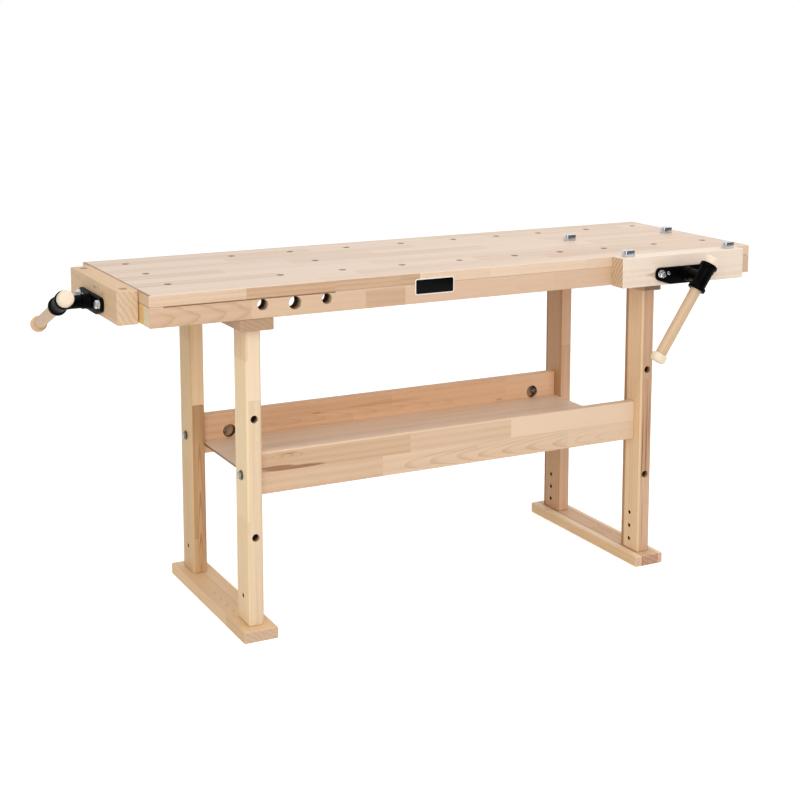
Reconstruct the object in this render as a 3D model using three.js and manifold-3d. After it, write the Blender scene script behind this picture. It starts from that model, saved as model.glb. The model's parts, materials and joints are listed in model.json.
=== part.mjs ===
// A joiner's workbench in beech: a laminated top with dog holes on two trestles, a bolted shelf between them,
// a vise at the left end, a vise on the front at the right, and four steel bench dogs.
// Millimetres. X runs along the bench, the front faces -Y, Z is up and the floor is Z = 0.
import * as THREE from "three";
import { mergeVertices } from "three/addons/utils/BufferGeometryUtils.js";
import Module from "manifold-3d";

// Fits between pieces
const SEAT_GAP = 0.3; // between faces that rest on each other
const SLIDE_PLAY = 0.5; // round a rod, bar, pin or screw that moves in its bore
const BOLT_PLAY = 0.5; // round a bolt in its hole
const TENON_PLAY = 0.3; // round a tenon in its mortise
const EASE = 1.5; // width of the eased edges of the boards

// Top
const TOP_LENGTH = 1700;
const TOP_WIDTH = 540;
const TOP_HEIGHT = 860;
const SLAB_THICKNESS = 27;
const APRON_HEIGHT = 48;
const APRON_THICKNESS = 44;
const END_RAIL_THICKNESS = 44;

// Dog holes in the top and tool holes in the front apron
const DOG_HOLE_DIAMETER = 20;
const FIRST_COLUMN_INSET = 88; // from the left end
const SECOND_COLUMN_INSET = 372; // from the left end
const DOG_PITCH = 165;
const NARROW_DOG_PITCH = 140; // beside the front vise
const LAST_COLUMN_INSET = 58; // from the right end
const LEAST_DOG_PITCH = 100; // where the columns counted from both ends meet
const FRONT_ROW_INSET = 131; // from the front edge
const BACK_ROW_INSET = 79; // from the back edge
const TOOL_HOLE_INSET = 272.5; // from the left end
const TOOL_HOLE_PITCH = 81.5;
const TOOL_HOLE_DIAMETERS = [27, 32, 26];
const TOOL_HOLE_WALL = 2; // of wood above each tool hole

// Trestles
const LEFT_TRESTLE_INSET = 260; // from the end of the top to the middle of the leg
const RIGHT_TRESTLE_INSET = 308;
const LEG_INSET = 32; // from the edge of the top to the outer face of the leg
const LEG_WIDTH = 38; // along the bench
const LEG_DEPTH = 80;
const LEG_CHAMFER = 4; // of the upright edges
const LEFT_RAIL_OVERHANG = 29; // of the rail past the leg
const RIGHT_RAIL_OVERHANG = 15;
const LEFT_RAIL_WIDTH = 82;
const RIGHT_RAIL_WIDTH = 55;
const RAIL_THICKNESS = 29;
const FOOT_OVERHANG = 28; // of the foot past the leg
const FOOT_HEIGHT = 29;
const FOOT_WIDTH = 87;
const TENON_THICKNESS = 12;
const TENON_WIDTH = 50;
const TENON_LENGTH = 20;
const LEG_DOG_HOLE_DIAMETER = 19;
const LEG_DOG_HOLE_HEIGHTS = [248, 538];
const PEG_HOLE_DIAMETER = 11;
const PEG_HOLE_DEPTH = 18;
const PEG_HOLE_HEIGHTS = [58, 95, 132];
const PEG_HOLE_THROUGH = 1; // the middle one goes right through

// Shelf
const STRETCHER_BOTTOM = 343; // above the floor
const STRETCHER_HEIGHT = 104;
const STRETCHER_THICKNESS = 24;
const SHELF_RISE = 34; // top of the shelf above the bottom of the stretchers
const SHELF_THICKNESS = 6;
const GROOVE_DEPTH = 8;
const POCKET_DIAMETER = 36;
const POCKET_INSET = 78; // from the end of the stretcher

// Bolts of the stretchers and screws of the top
const BOLT_DIAMETER = 10;
const BOLT_HEAD_FLATS = 16;
const BOLT_HEAD_HEIGHT = 6.4;
const BOLT_NUT_HEIGHT = 8;
const BOLT_TIP = 3; // of thread past the nut
const WASHER_DIAMETER = 24;
const WASHER_THICKNESS = 2;
const TOP_SCREW_DIAMETER = 5;
const TOP_SCREW_HEAD_DIAMETER = 10;
const TOP_SCREW_HEAD_HEIGHT = 2.8;
const TOP_SCREW_GRIP = 32; // of thread in the apron

// Vises
const FACE_VISE_INSET = 258; // from the right end to the screw
const VISE_TRAVEL = 120;
const JAW_LENGTH = 390;
const JAW_THICKNESS = 50;
const JAW_HEIGHT = 79;
const JAW_PROUD = 2; // above the top
const JAW_GAP = 1.5; // to the bench when shut
const JAW_DOG_INSET = 33; // from the end of the jaw
const FLANGE_LENGTH = 187;
const FLANGE_TOP = 20; // above the screw
const FLANGE_BOTTOM = 25; // below the screw
const FLANGE_THICKNESS = 8;
const FLANGE_CORNER = 8.5; // radius of the upper corners
const FLANGE_CUT_LENGTH = 45; // of the slant that cuts each lower corner
const FLANGE_CUT_HEIGHT = 14;
const BOSS_LENGTH = 20;
const BOSS_TAPER = 7; // of its length
const BOSS_DIAMETER = 36;
const BOSS_BASE_DIAMETER = 40;
const SCREW_DIAMETER = 24;
const SCREW_NECK_DIAMETER = 18;
const SOCKET_DEPTH = 20; // of the screw's neck in the handle head
const ROD_DIAMETER = 18;
const ROD_STUD_DIAMETER = 10;
const ROD_SPACING = 160;
const ROD_RISE = 5; // of the rods above the screw
const ROD_REAR = 8; // of the rods and the screw past the guide when the vise is open
const ROD_NUT_FLATS = 17;
const ROD_NUT_HEIGHT = 8;
const ROD_NUT_RIM_DIAMETER = 21;
const ROD_NUT_RIM = 1.5;
const ROD_STUD_TIP = 2.5;
const GUIDE_LENGTH = 32;
const GUIDE_PLATE_THICKNESS = 10;
const GUIDE_PLATE_HEIGHT = 40;
const GUIDE_PLATE_CORNER = 10;
const ROD_SLEEVE_DIAMETER = 30;
const NUT_SLEEVE_DIAMETER = 36;
const SLEEVE_CLEARANCE = 5; // between the screw's sleeve and the slab

// Handles
const HUB_REACH = 77; // from the jaw to the bar
const HUB_LENGTH = 75;
const HUB_DIAMETER = 38;
const HUB_COLLAR_DIAMETER = 46;
const HUB_COLLAR_WIDTH = 10.5;
const STEM_DIAMETER = 32;
const BAR_DIAMETER = 29;
const BAR_LENGTH = 267; // between the caps
const BAR_TENON_DIAMETER = 16;
const BAR_TENON_LENGTH = 13;
const CAP_DIAMETER = 40;
const CAP_LENGTH = 21;
const CAP_EASE = 3;
const END_HANDLE_TILT = 68; // degrees from upright
const FACE_HANDLE_TILT = 34;

// Bench dogs
const DOG_PIN_DIAMETER = 19;
const DOG_PIN_LENGTH = 52;
const DOG_HEAD_DIAMETER = 34;
const DOG_HEAD_HEIGHT = 16;
const DOG_HEAD_EASE = 1.5;
const DOG_FLAT_DEPTH = 5;

// Round pieces are drawn with this many sides
const SIDES = 18;
const HOLE_SIDES = 14;
const SCREW_SIDES = 10;

const wasm = await Module();
wasm.setup();

const wood = (colour) => new THREE.MeshStandardMaterial({ color: colour, roughness: 0.6, metalness: 0 });
const topBeech = wood(0xe8d6c2);
const frameBeech = wood(0xe3c4a0);
const panelBeech = wood(0xd9b58c);
const turnedBeech = wood(0xeddcbd);
const castIron = new THREE.MeshStandardMaterial({ color: 0x161616, roughness: 0.5, metalness: 0.2 });
const zincSteel = new THREE.MeshStandardMaterial({ color: 0xb9bcc0, roughness: 0.35, metalness: 0.9 });
const brightSteel = new THREE.MeshStandardMaterial({ color: 0x9a9da1, roughness: 0.3, metalness: 0.9 });

// A closed geometry as a solid that can be joined and cut.
function solidOf(geometry) {
  const bare = geometry.clone();
  bare.deleteAttribute("normal");
  bare.deleteAttribute("uv");
  const merged = mergeVertices(bare, 1e-4);
  return new wasm.Manifold(
    new wasm.Mesh({
      numProp: 3,
      vertProperties: merged.attributes.position.array,
      triVerts: new Uint32Array(merged.index.array),
    }),
  );
}

function geometryOf(solid) {
  const { vertProperties, triVerts } = solid.getMesh();
  const geometry = new THREE.BufferGeometry();
  geometry.setAttribute("position", new THREE.BufferAttribute(vertProperties, 3));
  geometry.setIndex(new THREE.BufferAttribute(triVerts, 1));
  const faceted = geometry.toNonIndexed();
  faceted.computeVertexNormals();
  return faceted;
}

function join(...geometries) {
  return geometryOf(geometries.map(solidOf).reduce((whole, piece) => whole.add(piece)));
}

function cut(geometry, ...tools) {
  return geometryOf(tools.map(solidOf).reduce((whole, tool) => whole.subtract(tool), solidOf(geometry)));
}

// A sawn board with eased edges, its middle at the origin. The edges along z can have a wider chamfer.
function board(length, width, height, chamfer = EASE) {
  const x = length / 2;
  const y = width / 2;
  const outline = new THREE.Shape();
  outline.moveTo(chamfer - x, -y).lineTo(x - chamfer, -y).lineTo(x, chamfer - y).lineTo(x, y - chamfer);
  outline.lineTo(x - chamfer, y).lineTo(chamfer - x, y).lineTo(-x, y - chamfer).lineTo(-x, chamfer - y);
  const geometry = new THREE.ExtrudeGeometry(outline, {
    depth: height - 2 * EASE,
    bevelThickness: EASE,
    bevelSize: EASE,
    bevelOffset: -EASE,
    bevelSegments: 1,
  });
  return geometry.translate(0, 0, EASE - height / 2);
}

// A cylinder with its middle at the origin and its axis along x, y or z.
function round(diameter, length, axis, sides = SIDES) {
  const geometry = new THREE.CylinderGeometry(diameter / 2, diameter / 2, length, sides);
  if (axis === "x") geometry.rotateZ(Math.PI / 2);
  if (axis === "z") geometry.rotateX(Math.PI / 2);
  return geometry;
}

// A hexagonal prism across flats with its axis along x, y or z.
function hexagon(flats, length, axis) {
  return round((flats * 2) / Math.sqrt(3), length, axis, 6);
}

// A turned piece on the z axis from pairs of radius and height, listed from the bottom up.
function turned(profile, sides = SIDES) {
  const points = profile.map(([radius, height]) => new THREE.Vector2(radius, height));
  return new THREE.LatheGeometry(points, sides).rotateX(Math.PI / 2);
}

function place(group, name, geometry, material, x = 0, y = 0, z = 0) {
  const mesh = new THREE.Mesh(geometry, material);
  mesh.name = name;
  mesh.position.set(x, y, z);
  group.add(mesh);
}

const bench = new THREE.Group();

// Levels and lines that several pieces share
const leftEnd = -TOP_LENGTH / 2;
const rightEnd = TOP_LENGTH / 2;
const front = -TOP_WIDTH / 2;
const back = TOP_WIDTH / 2;
const slabBottom = TOP_HEIGHT - SLAB_THICKNESS;
const apronBottom = slabBottom - APRON_HEIGHT;
const apronTop = slabBottom - SEAT_GAP;
const railTop = apronBottom - SEAT_GAP;
const railBottom = railTop - RAIL_THICKNESS;
const viseAxis = slabBottom - SLEEVE_CLEARANCE - NUT_SLEEVE_DIAMETER / 2;
const faceViseX = rightEnd - FACE_VISE_INSET;
const rodSides = [-ROD_SPACING / 2, ROD_SPACING / 2];
const boreExtra = 2; // a cutting cylinder runs this far past both faces
const headOverlap = 1; // a bolt's shank runs this far into its head

// Top slab with its columns of dog holes
const rightColumns = [0, DOG_PITCH, 2 * DOG_PITCH, 2 * DOG_PITCH + NARROW_DOG_PITCH].map(
  (step) => rightEnd - LAST_COLUMN_INSET - step,
);
const leftColumns = [];
for (
  let x = leftEnd + SECOND_COLUMN_INSET;
  x <= rightColumns[rightColumns.length - 1] - LEAST_DOG_PITCH;
  x += DOG_PITCH
)
  leftColumns.push(x);
const frontRow = front + FRONT_ROW_INSET;
const backRow = back - BACK_ROW_INSET;
const middleRow = (frontRow + backRow) / 2;
const firstColumn = leftEnd + FIRST_COLUMN_INSET;
const topDogs = [rightColumns[2], rightColumns[0]].map((x) => [x, middleRow]);
const dogHoles = [
  ...[frontRow, middleRow, backRow].map((y) => [firstColumn, y]),
  ...[...leftColumns, ...rightColumns].flatMap((x) => [
    [x, frontRow],
    [x, backRow],
  ]),
  [leftEnd + SECOND_COLUMN_INSET + DOG_PITCH, middleRow],
  ...topDogs,
];
place(
  bench,
  "bench_top",
  cut(
    board(TOP_LENGTH, TOP_WIDTH, SLAB_THICKNESS),
    ...dogHoles.map(([x, y]) =>
      round(DOG_HOLE_DIAMETER, SLAB_THICKNESS + 2 * boreExtra, "z", HOLE_SIDES).translate(x, y, 0),
    ),
  ),
  topBeech,
  0,
  0,
  slabBottom + SLAB_THICKNESS / 2,
);

// Aprons under the long edges, bored for the screws of the top and, in front, for tools and the vise
const trestles = [
  {
    side: "left",
    x: leftEnd + LEFT_TRESTLE_INSET,
    outward: -1,
    railWidth: LEFT_RAIL_WIDTH,
    railOverhang: LEFT_RAIL_OVERHANG,
  },
  {
    side: "right",
    x: rightEnd - RIGHT_TRESTLE_INSET,
    outward: 1,
    railWidth: RIGHT_RAIL_WIDTH,
    railOverhang: RIGHT_RAIL_OVERHANG,
  },
];
const legFace = back - LEG_INSET; // outer face of the back legs, from the middle of the bench
const legMiddle = legFace - LEG_DEPTH / 2;
const topScrewY = (railOverhang) => legFace + railOverhang / 2;
const apronHeight = apronTop - apronBottom;
const apronMiddle = (apronTop + apronBottom) / 2;
const apronY = TOP_WIDTH / 2 - APRON_THICKNESS / 2;
const screwBore = SCREW_DIAMETER + 2 * SLIDE_PLAY;
const rodBore = ROD_DIAMETER + 2 * SLIDE_PLAY;

// The bores for a vise in a piece of the given thickness, each with its offset and height from the screw.
const viseBores = (thickness, axis) =>
  [[0, 0, screwBore], ...rodSides.map((offset) => [offset, ROD_RISE, rodBore])].map(
    ([offset, rise, diameter]) => [offset, rise, round(diameter, thickness + 2 * boreExtra, axis)],
  );

const topScrewBore = (length) => round(TOP_SCREW_DIAMETER + 2 * BOLT_PLAY, length, "z", SCREW_SIDES);
const topScrewBores = (side) =>
  trestles.map(({ x, railOverhang }) =>
    topScrewBore(2 * (TOP_SCREW_GRIP + boreExtra)).translate(
      x,
      side * (topScrewY(railOverhang) - apronY),
      -apronHeight / 2,
    ),
  );
place(
  bench,
  "front_apron",
  cut(
    board(TOP_LENGTH, APRON_THICKNESS, apronHeight),
    ...TOOL_HOLE_DIAMETERS.map((diameter, index) =>
      round(diameter, APRON_THICKNESS + 2 * boreExtra, "y").translate(
        leftEnd + TOOL_HOLE_INSET + index * TOOL_HOLE_PITCH,
        0,
        apronHeight / 2 - TOOL_HOLE_WALL - diameter / 2,
      ),
    ),
    ...viseBores(APRON_THICKNESS, "y").map(([offset, rise, bore]) =>
      bore.translate(faceViseX + offset, 0, viseAxis + rise - apronMiddle),
    ),
    ...topScrewBores(-1),
  ),
  frameBeech,
  0,
  -apronY,
  apronMiddle,
);
place(
  bench,
  "rear_apron",
  cut(board(TOP_LENGTH, APRON_THICKNESS, apronHeight), ...topScrewBores(1)),
  frameBeech,
  0,
  apronY,
  apronMiddle,
);

// End rail between the aprons, the fixed jaw of the end vise
const endRailLength = TOP_WIDTH - 2 * APRON_THICKNESS - 2 * SEAT_GAP;
place(
  bench,
  "end_rail",
  cut(
    board(END_RAIL_THICKNESS, endRailLength, apronHeight),
    ...viseBores(END_RAIL_THICKNESS, "x").map(([offset, rise, bore]) =>
      bore.translate(0, offset, viseAxis + rise - apronMiddle),
    ),
  ),
  frameBeech,
  leftEnd + END_RAIL_THICKNESS / 2,
  0,
  apronMiddle,
);

// Trestles: a foot, two tenoned legs and a rail that is screwed to the aprons
const legBottom = FOOT_HEIGHT + SEAT_GAP;
const legTop = railBottom - SEAT_GAP;
const legHeight = legTop - legBottom;
const legCentre = (legTop + legBottom) / 2;
const stretcherMiddle = STRETCHER_BOTTOM + STRETCHER_HEIGHT / 2;
const mortiseDepth = TENON_LENGTH + TENON_PLAY - SEAT_GAP;

function leg(outward, isFront) {
  const tenon = new THREE.BoxGeometry(TENON_THICKNESS, TENON_WIDTH, legHeight + 2 * TENON_LENGTH);
  const across = (diameter, length, height, x = 0) =>
    round(diameter, length, "x", HOLE_SIDES).translate(x, 0, height - legCentre);
  const pegHoles = PEG_HOLE_HEIGHTS.map((height, index) =>
    index === PEG_HOLE_THROUGH
      ? across(PEG_HOLE_DIAMETER, LEG_WIDTH + 2 * boreExtra, height)
      : across(PEG_HOLE_DIAMETER, 2 * PEG_HOLE_DEPTH, height, (-outward * LEG_WIDTH) / 2),
  );
  const dogHolesInFront = isFront
    ? LEG_DOG_HOLE_HEIGHTS.map((height) =>
        round(LEG_DOG_HOLE_DIAMETER, LEG_DEPTH + 2 * boreExtra, "y", HOLE_SIDES).translate(
          0,
          0,
          height - legCentre,
        ),
      )
    : [];
  return cut(
    join(board(LEG_WIDTH, LEG_DEPTH, legHeight, LEG_CHAMFER), tenon),
    across(BOLT_DIAMETER + 2 * BOLT_PLAY, LEG_WIDTH + 2 * boreExtra, stretcherMiddle),
    ...pegHoles,
    ...dogHolesInFront,
  );
}

// The two mortises of a foot or rail, sunk in the face at the given height from its middle.
const mortises = (faceHeight) =>
  [-legMiddle, legMiddle].map((y) =>
    new THREE.BoxGeometry(
      TENON_THICKNESS + 2 * TENON_PLAY,
      TENON_WIDTH + 2 * TENON_PLAY,
      2 * mortiseDepth,
    ).translate(0, y, faceHeight),
  );

// A cone for the head of a screw, flush with the face at z = 0 and grown by the given play.
const countersink = (play) =>
  turned(
    [
      [0, 0],
      [TOP_SCREW_HEAD_DIAMETER / 2 + play, 0],
      [TOP_SCREW_DIAMETER / 2 + play, TOP_SCREW_HEAD_HEIGHT],
      [0, TOP_SCREW_HEAD_HEIGHT],
    ],
    SCREW_SIDES,
  );

for (const { side, x, outward, railWidth, railOverhang } of trestles) {
  place(
    bench,
    `${side}_foot`,
    cut(board(FOOT_WIDTH, 2 * (legFace + FOOT_OVERHANG), FOOT_HEIGHT), ...mortises(FOOT_HEIGHT / 2)),
    frameBeech,
    x,
    0,
    FOOT_HEIGHT / 2,
  );
  place(bench, `${side}_front_leg`, leg(outward, true), frameBeech, x, -legMiddle, legCentre);
  place(bench, `${side}_rear_leg`, leg(outward, false), frameBeech, x, legMiddle, legCentre);
  const screwY = topScrewY(railOverhang);
  place(
    bench,
    `${side}_top_rail`,
    cut(
      board(railWidth, 2 * (legFace + railOverhang), RAIL_THICKNESS),
      ...mortises(-RAIL_THICKNESS / 2),
      ...[-screwY, screwY].flatMap((y) => [
        topScrewBore(RAIL_THICKNESS + 2 * boreExtra).translate(0, y, 0),
        countersink(BOLT_PLAY).translate(0, y, -RAIL_THICKNESS / 2),
      ]),
    ),
    frameBeech,
    x,
    0,
    railTop - RAIL_THICKNESS / 2,
  );
}

// Countersunk screws that hold the top down, their heads flush with the underside of the rails
const topScrewLength = RAIL_THICKNESS + SEAT_GAP + TOP_SCREW_GRIP;
const topScrewShank = topScrewLength - TOP_SCREW_HEAD_HEIGHT + headOverlap;
const topScrewMiddle = topScrewLength - topScrewShank / 2;
const topScrew = join(
  countersink(0),
  round(TOP_SCREW_DIAMETER, topScrewShank, "z", SCREW_SIDES).translate(0, 0, topScrewMiddle),
);
for (const { side, x, railOverhang } of trestles) {
  place(bench, `${side}_front_top_screw`, topScrew, zincSteel, x, -topScrewY(railOverhang), railBottom);
  place(bench, `${side}_rear_top_screw`, topScrew, zincSteel, x, topScrewY(railOverhang), railBottom);
}

// Stretchers with a groove for the shelf and a round pocket for each nut, and the shelf panel between them
const legInside = LEG_WIDTH / 2 + SEAT_GAP;
const stretcherLeft = trestles[0].x + legInside;
const stretcherRight = trestles[1].x - legInside;
const stretcherLength = stretcherRight - stretcherLeft;
const stretcherCentre = (stretcherLeft + stretcherRight) / 2;
const stretcherInside = legMiddle - STRETCHER_THICKNESS / 2;
const shelfMiddle = STRETCHER_BOTTOM + SHELF_RISE - SHELF_THICKNESS / 2;
const nutRadius = BOLT_HEAD_FLATS / Math.sqrt(3);
const pocketDepth = STRETCHER_THICKNESS / 2 + nutRadius + SEAT_GAP;
const nutSeat = Math.sqrt((POCKET_DIAMETER / 2) ** 2 - nutRadius ** 2); // where the nut meets the round wall
const nutReach = POCKET_INSET - nutSeat + SEAT_GAP; // from the end of the stretcher to the face of the nut
const boltReach = SEAT_GAP + nutReach + BOLT_NUT_HEIGHT + BOLT_TIP; // past the inner face of the leg

function stretcher(inward) {
  const groove = new THREE.BoxGeometry(
    stretcherLength + 2 * boreExtra,
    2 * GROOVE_DEPTH,
    SHELF_THICKNESS + 2 * SEAT_GAP,
  );
  const insideFace = (inward * STRETCHER_THICKNESS) / 2;
  const ends = [-1, 1].flatMap((end) => [
    round(POCKET_DIAMETER, 2 * pocketDepth, "y").translate(
      end * (stretcherLength / 2 - POCKET_INSET),
      insideFace,
      0,
    ),
    round(BOLT_DIAMETER + 2 * BOLT_PLAY, 2 * (boltReach + boreExtra), "x", HOLE_SIDES).translate(
      (end * stretcherLength) / 2,
      0,
      0,
    ),
  ]);
  return cut(
    board(stretcherLength, STRETCHER_THICKNESS, STRETCHER_HEIGHT),
    groove.translate(0, insideFace, shelfMiddle - stretcherMiddle),
    ...ends,
  );
}
place(bench, "front_stretcher", stretcher(1), frameBeech, stretcherCentre, -legMiddle, stretcherMiddle);
place(bench, "rear_stretcher", stretcher(-1), frameBeech, stretcherCentre, legMiddle, stretcherMiddle);
place(
  bench,
  "shelf_panel",
  new THREE.BoxGeometry(stretcherLength, 2 * (stretcherInside + GROOVE_DEPTH - SEAT_GAP), SHELF_THICKNESS),
  panelBeech,
  stretcherCentre,
  0,
  shelfMiddle,
);

// Bolts from the outside of each leg into the stretchers, each with a washer and a nut in the pocket
const boltShank = SEAT_GAP + WASHER_THICKNESS + SEAT_GAP + LEG_WIDTH + boltReach;
const stretcherBolt = join(
  hexagon(BOLT_HEAD_FLATS, BOLT_HEAD_HEIGHT, "x").translate(-BOLT_HEAD_HEIGHT / 2, 0, 0),
  round(BOLT_DIAMETER, boltShank + headOverlap, "x", HOLE_SIDES).translate(
    (boltShank - headOverlap) / 2,
    0,
    0,
  ),
);
const boltHole = round(BOLT_DIAMETER + 2 * BOLT_PLAY, WASHER_DIAMETER, "x", HOLE_SIDES);
const washer = cut(round(WASHER_DIAMETER, WASHER_THICKNESS, "x"), boltHole);
const boltNut = cut(hexagon(BOLT_HEAD_FLATS, BOLT_NUT_HEIGHT, "x"), boltHole);
for (const { side, x, outward } of trestles)
  for (const [end, y] of [
    ["front", -legMiddle],
    ["rear", legMiddle],
  ]) {
    // Each set of fasteners starts at the outer face of its leg and runs inward along local X.
    const set = new THREE.Group();
    set.position.set(x + (outward * LEG_WIDTH) / 2, y, stretcherMiddle);
    if (outward > 0) set.rotation.z = Math.PI;
    const washerFace = -SEAT_GAP - WASHER_THICKNESS;
    place(set, `${side}_${end}_stretcher_bolt`, stretcherBolt, zincSteel, washerFace - SEAT_GAP);
    place(set, `${side}_${end}_washer`, washer, zincSteel, washerFace + WASHER_THICKNESS / 2);
    place(
      set,
      `${side}_${end}_stretcher_nut`,
      boltNut,
      zincSteel,
      LEG_WIDTH + SEAT_GAP + nutReach + BOLT_NUT_HEIGHT / 2,
    );
    bench.add(set);
  }

// A bench dog: a turned head with a flat for the work, on a pin. Its origin is on the surface it rests on.
const dogHeadRadius = DOG_HEAD_DIAMETER / 2;
const benchDog = cut(
  turned([
    [0, -DOG_PIN_LENGTH],
    [DOG_PIN_DIAMETER / 2 - DOG_HEAD_EASE, -DOG_PIN_LENGTH],
    [DOG_PIN_DIAMETER / 2, DOG_HEAD_EASE - DOG_PIN_LENGTH],
    [DOG_PIN_DIAMETER / 2, SEAT_GAP],
    [dogHeadRadius, SEAT_GAP],
    [dogHeadRadius, SEAT_GAP + DOG_HEAD_HEIGHT - DOG_HEAD_EASE],
    [dogHeadRadius - DOG_HEAD_EASE, SEAT_GAP + DOG_HEAD_HEIGHT],
    [0, SEAT_GAP + DOG_HEAD_HEIGHT],
  ]),
  new THREE.BoxGeometry(DOG_HEAD_DIAMETER, DOG_HEAD_DIAMETER, 2 * DOG_HEAD_HEIGHT).translate(
    0,
    DOG_FLAT_DEPTH - DOG_HEAD_DIAMETER,
    DOG_HEAD_HEIGHT + SEAT_GAP,
  ),
);
topDogs.forEach(([x, y], index) =>
  place(bench, `top_dog_${["left", "right"][index]}`, benchDog, zincSteel, x, y, TOP_HEIGHT),
);

// Vise pieces. Each is drawn about the screw, with Y = 0 on the face of the bench. The jaw opens toward -Y.
const jawFront = -JAW_GAP - JAW_THICKNESS;
const jawMiddleY = -JAW_GAP - JAW_THICKNESS / 2;
const jawTop = TOP_HEIGHT + JAW_PROUD - viseAxis;
const jawDogs = [JAW_DOG_INSET - JAW_LENGTH / 2, JAW_LENGTH / 2 - JAW_DOG_INSET];
const flangeBack = jawFront - SEAT_GAP;
const flangeFront = flangeBack - FLANGE_THICKNESS;
const bossFront = flangeFront - BOSS_LENGTH;
const barY = jawFront - HUB_REACH;
const alongY = (geometry) => geometry.rotateX(Math.PI / 2); // a piece turned on z, with its top toward -Y

const viseJaw = cut(
  board(JAW_LENGTH, JAW_THICKNESS, JAW_HEIGHT).translate(0, jawMiddleY, jawTop - JAW_HEIGHT / 2),
  ...viseBores(JAW_THICKNESS, "y").map(([offset, rise, bore]) => bore.translate(offset, jawMiddleY, rise)),
  ...jawDogs.map((x) =>
    round(DOG_HOLE_DIAMETER, JAW_HEIGHT + 2 * boreExtra, "z", HOLE_SIDES).translate(
      x,
      jawMiddleY,
      jawTop - JAW_HEIGHT / 2,
    ),
  ),
);

// A plate outline with round corners, its middle at the origin.
function plateOutline(length, height, corner) {
  const x = length / 2;
  const z = height / 2;
  const outline = new THREE.Shape();
  outline.moveTo(corner - x, -z);
  outline.lineTo(x - corner, -z).absarc(x - corner, corner - z, corner, -Math.PI / 2, 0);
  outline.lineTo(x, z - corner).absarc(x - corner, z - corner, corner, 0, Math.PI / 2);
  outline.lineTo(corner - x, z).absarc(corner - x, z - corner, corner, Math.PI / 2, Math.PI);
  outline.lineTo(-x, corner - z).absarc(corner - x, corner - z, corner, Math.PI, 1.5 * Math.PI);
  return outline;
}

// The outline of a flange about the screw: round-cornered above, with its lower corners cut at a slant.
function flangeOutline() {
  const x = FLANGE_LENGTH / 2;
  const arcX = x - FLANGE_CORNER;
  const arcY = FLANGE_TOP - FLANGE_CORNER;
  const slantTop = FLANGE_CUT_HEIGHT - FLANGE_BOTTOM;
  const outline = new THREE.Shape();
  outline.moveTo(FLANGE_CUT_LENGTH - x, -FLANGE_BOTTOM).lineTo(x - FLANGE_CUT_LENGTH, -FLANGE_BOTTOM);
  outline.lineTo(x, slantTop).lineTo(x, arcY).absarc(arcX, arcY, FLANGE_CORNER, 0, Math.PI / 2);
  outline.lineTo(-arcX, FLANGE_TOP).absarc(-arcX, arcY, FLANGE_CORNER, Math.PI / 2, Math.PI);
  outline.lineTo(-x, slantTop);
  return outline;
}

// Cast flange: a plate on the face of the jaw with a tapered boss that the screw turns in.
const viseFlange = cut(
  join(
    alongY(
      new THREE.ExtrudeGeometry(flangeOutline(), {
        depth: FLANGE_THICKNESS - 2 * EASE,
        bevelThickness: EASE,
        bevelSize: EASE,
        bevelOffset: -EASE,
        bevelSegments: 1,
        curveSegments: 4,
      }).translate(0, 0, EASE - flangeBack),
    ),
    alongY(
      turned([
        [0, -flangeBack],
        [BOSS_BASE_DIAMETER / 2, -flangeBack],
        [BOSS_BASE_DIAMETER / 2, -flangeFront],
        [BOSS_DIAMETER / 2, BOSS_TAPER - flangeFront],
        [BOSS_DIAMETER / 2, -bossFront],
        [0, -bossFront],
      ]),
    ),
  ),
  round(SCREW_NECK_DIAMETER + 2 * SLIDE_PLAY, 2 * (FLANGE_THICKNESS + BOSS_LENGTH), "y").translate(
    0,
    flangeFront,
    0,
  ),
  ...rodSides.map((x) =>
    round(ROD_STUD_DIAMETER + 2 * BOLT_PLAY, 2 * (FLANGE_THICKNESS + boreExtra), "y", HOLE_SIDES).translate(
      x,
      flangeFront,
      ROD_RISE,
    ),
  ),
);

// Guide rod: a plain bar with a thinner stud that the flange is nutted to.
const studShoulder = -flangeBack - SEAT_GAP;
const nutFace = -flangeFront + SEAT_GAP;
const rodNutLength = ROD_NUT_RIM + ROD_NUT_HEIGHT;
const studTip = nutFace + rodNutLength + ROD_STUD_TIP;
const guideRod = (rear) =>
  alongY(
    turned([
      [0, -rear],
      [ROD_DIAMETER / 2 - EASE, -rear],
      [ROD_DIAMETER / 2, EASE - rear],
      [ROD_DIAMETER / 2, studShoulder],
      [ROD_STUD_DIAMETER / 2, studShoulder],
      [ROD_STUD_DIAMETER / 2, studTip],
      [0, studTip],
    ]),
  );
const rodNut = alongY(
  cut(
    join(
      round(ROD_NUT_RIM_DIAMETER, ROD_NUT_RIM, "z").translate(0, 0, ROD_NUT_RIM / 2),
      hexagon(ROD_NUT_FLATS, rodNutLength, "z").translate(0, 0, rodNutLength / 2),
    ),
    round(ROD_STUD_DIAMETER + 2 * BOLT_PLAY, 2 * (rodNutLength + boreExtra), "z", HOLE_SIDES),
  ).translate(0, 0, nutFace),
);

// Screw: it turns in the flange on a neck, which the handle head is pinned to.
const neckTip = SOCKET_DEPTH - bossFront;
const viseScrew = (rear) =>
  alongY(
    turned([
      [0, -rear],
      [SCREW_DIAMETER / 2 - EASE, -rear],
      [SCREW_DIAMETER / 2, EASE - rear],
      [SCREW_DIAMETER / 2, studShoulder],
      [SCREW_NECK_DIAMETER / 2, studShoulder],
      [SCREW_NECK_DIAMETER / 2, neckTip],
      [0, neckTip],
    ]),
  );

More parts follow.
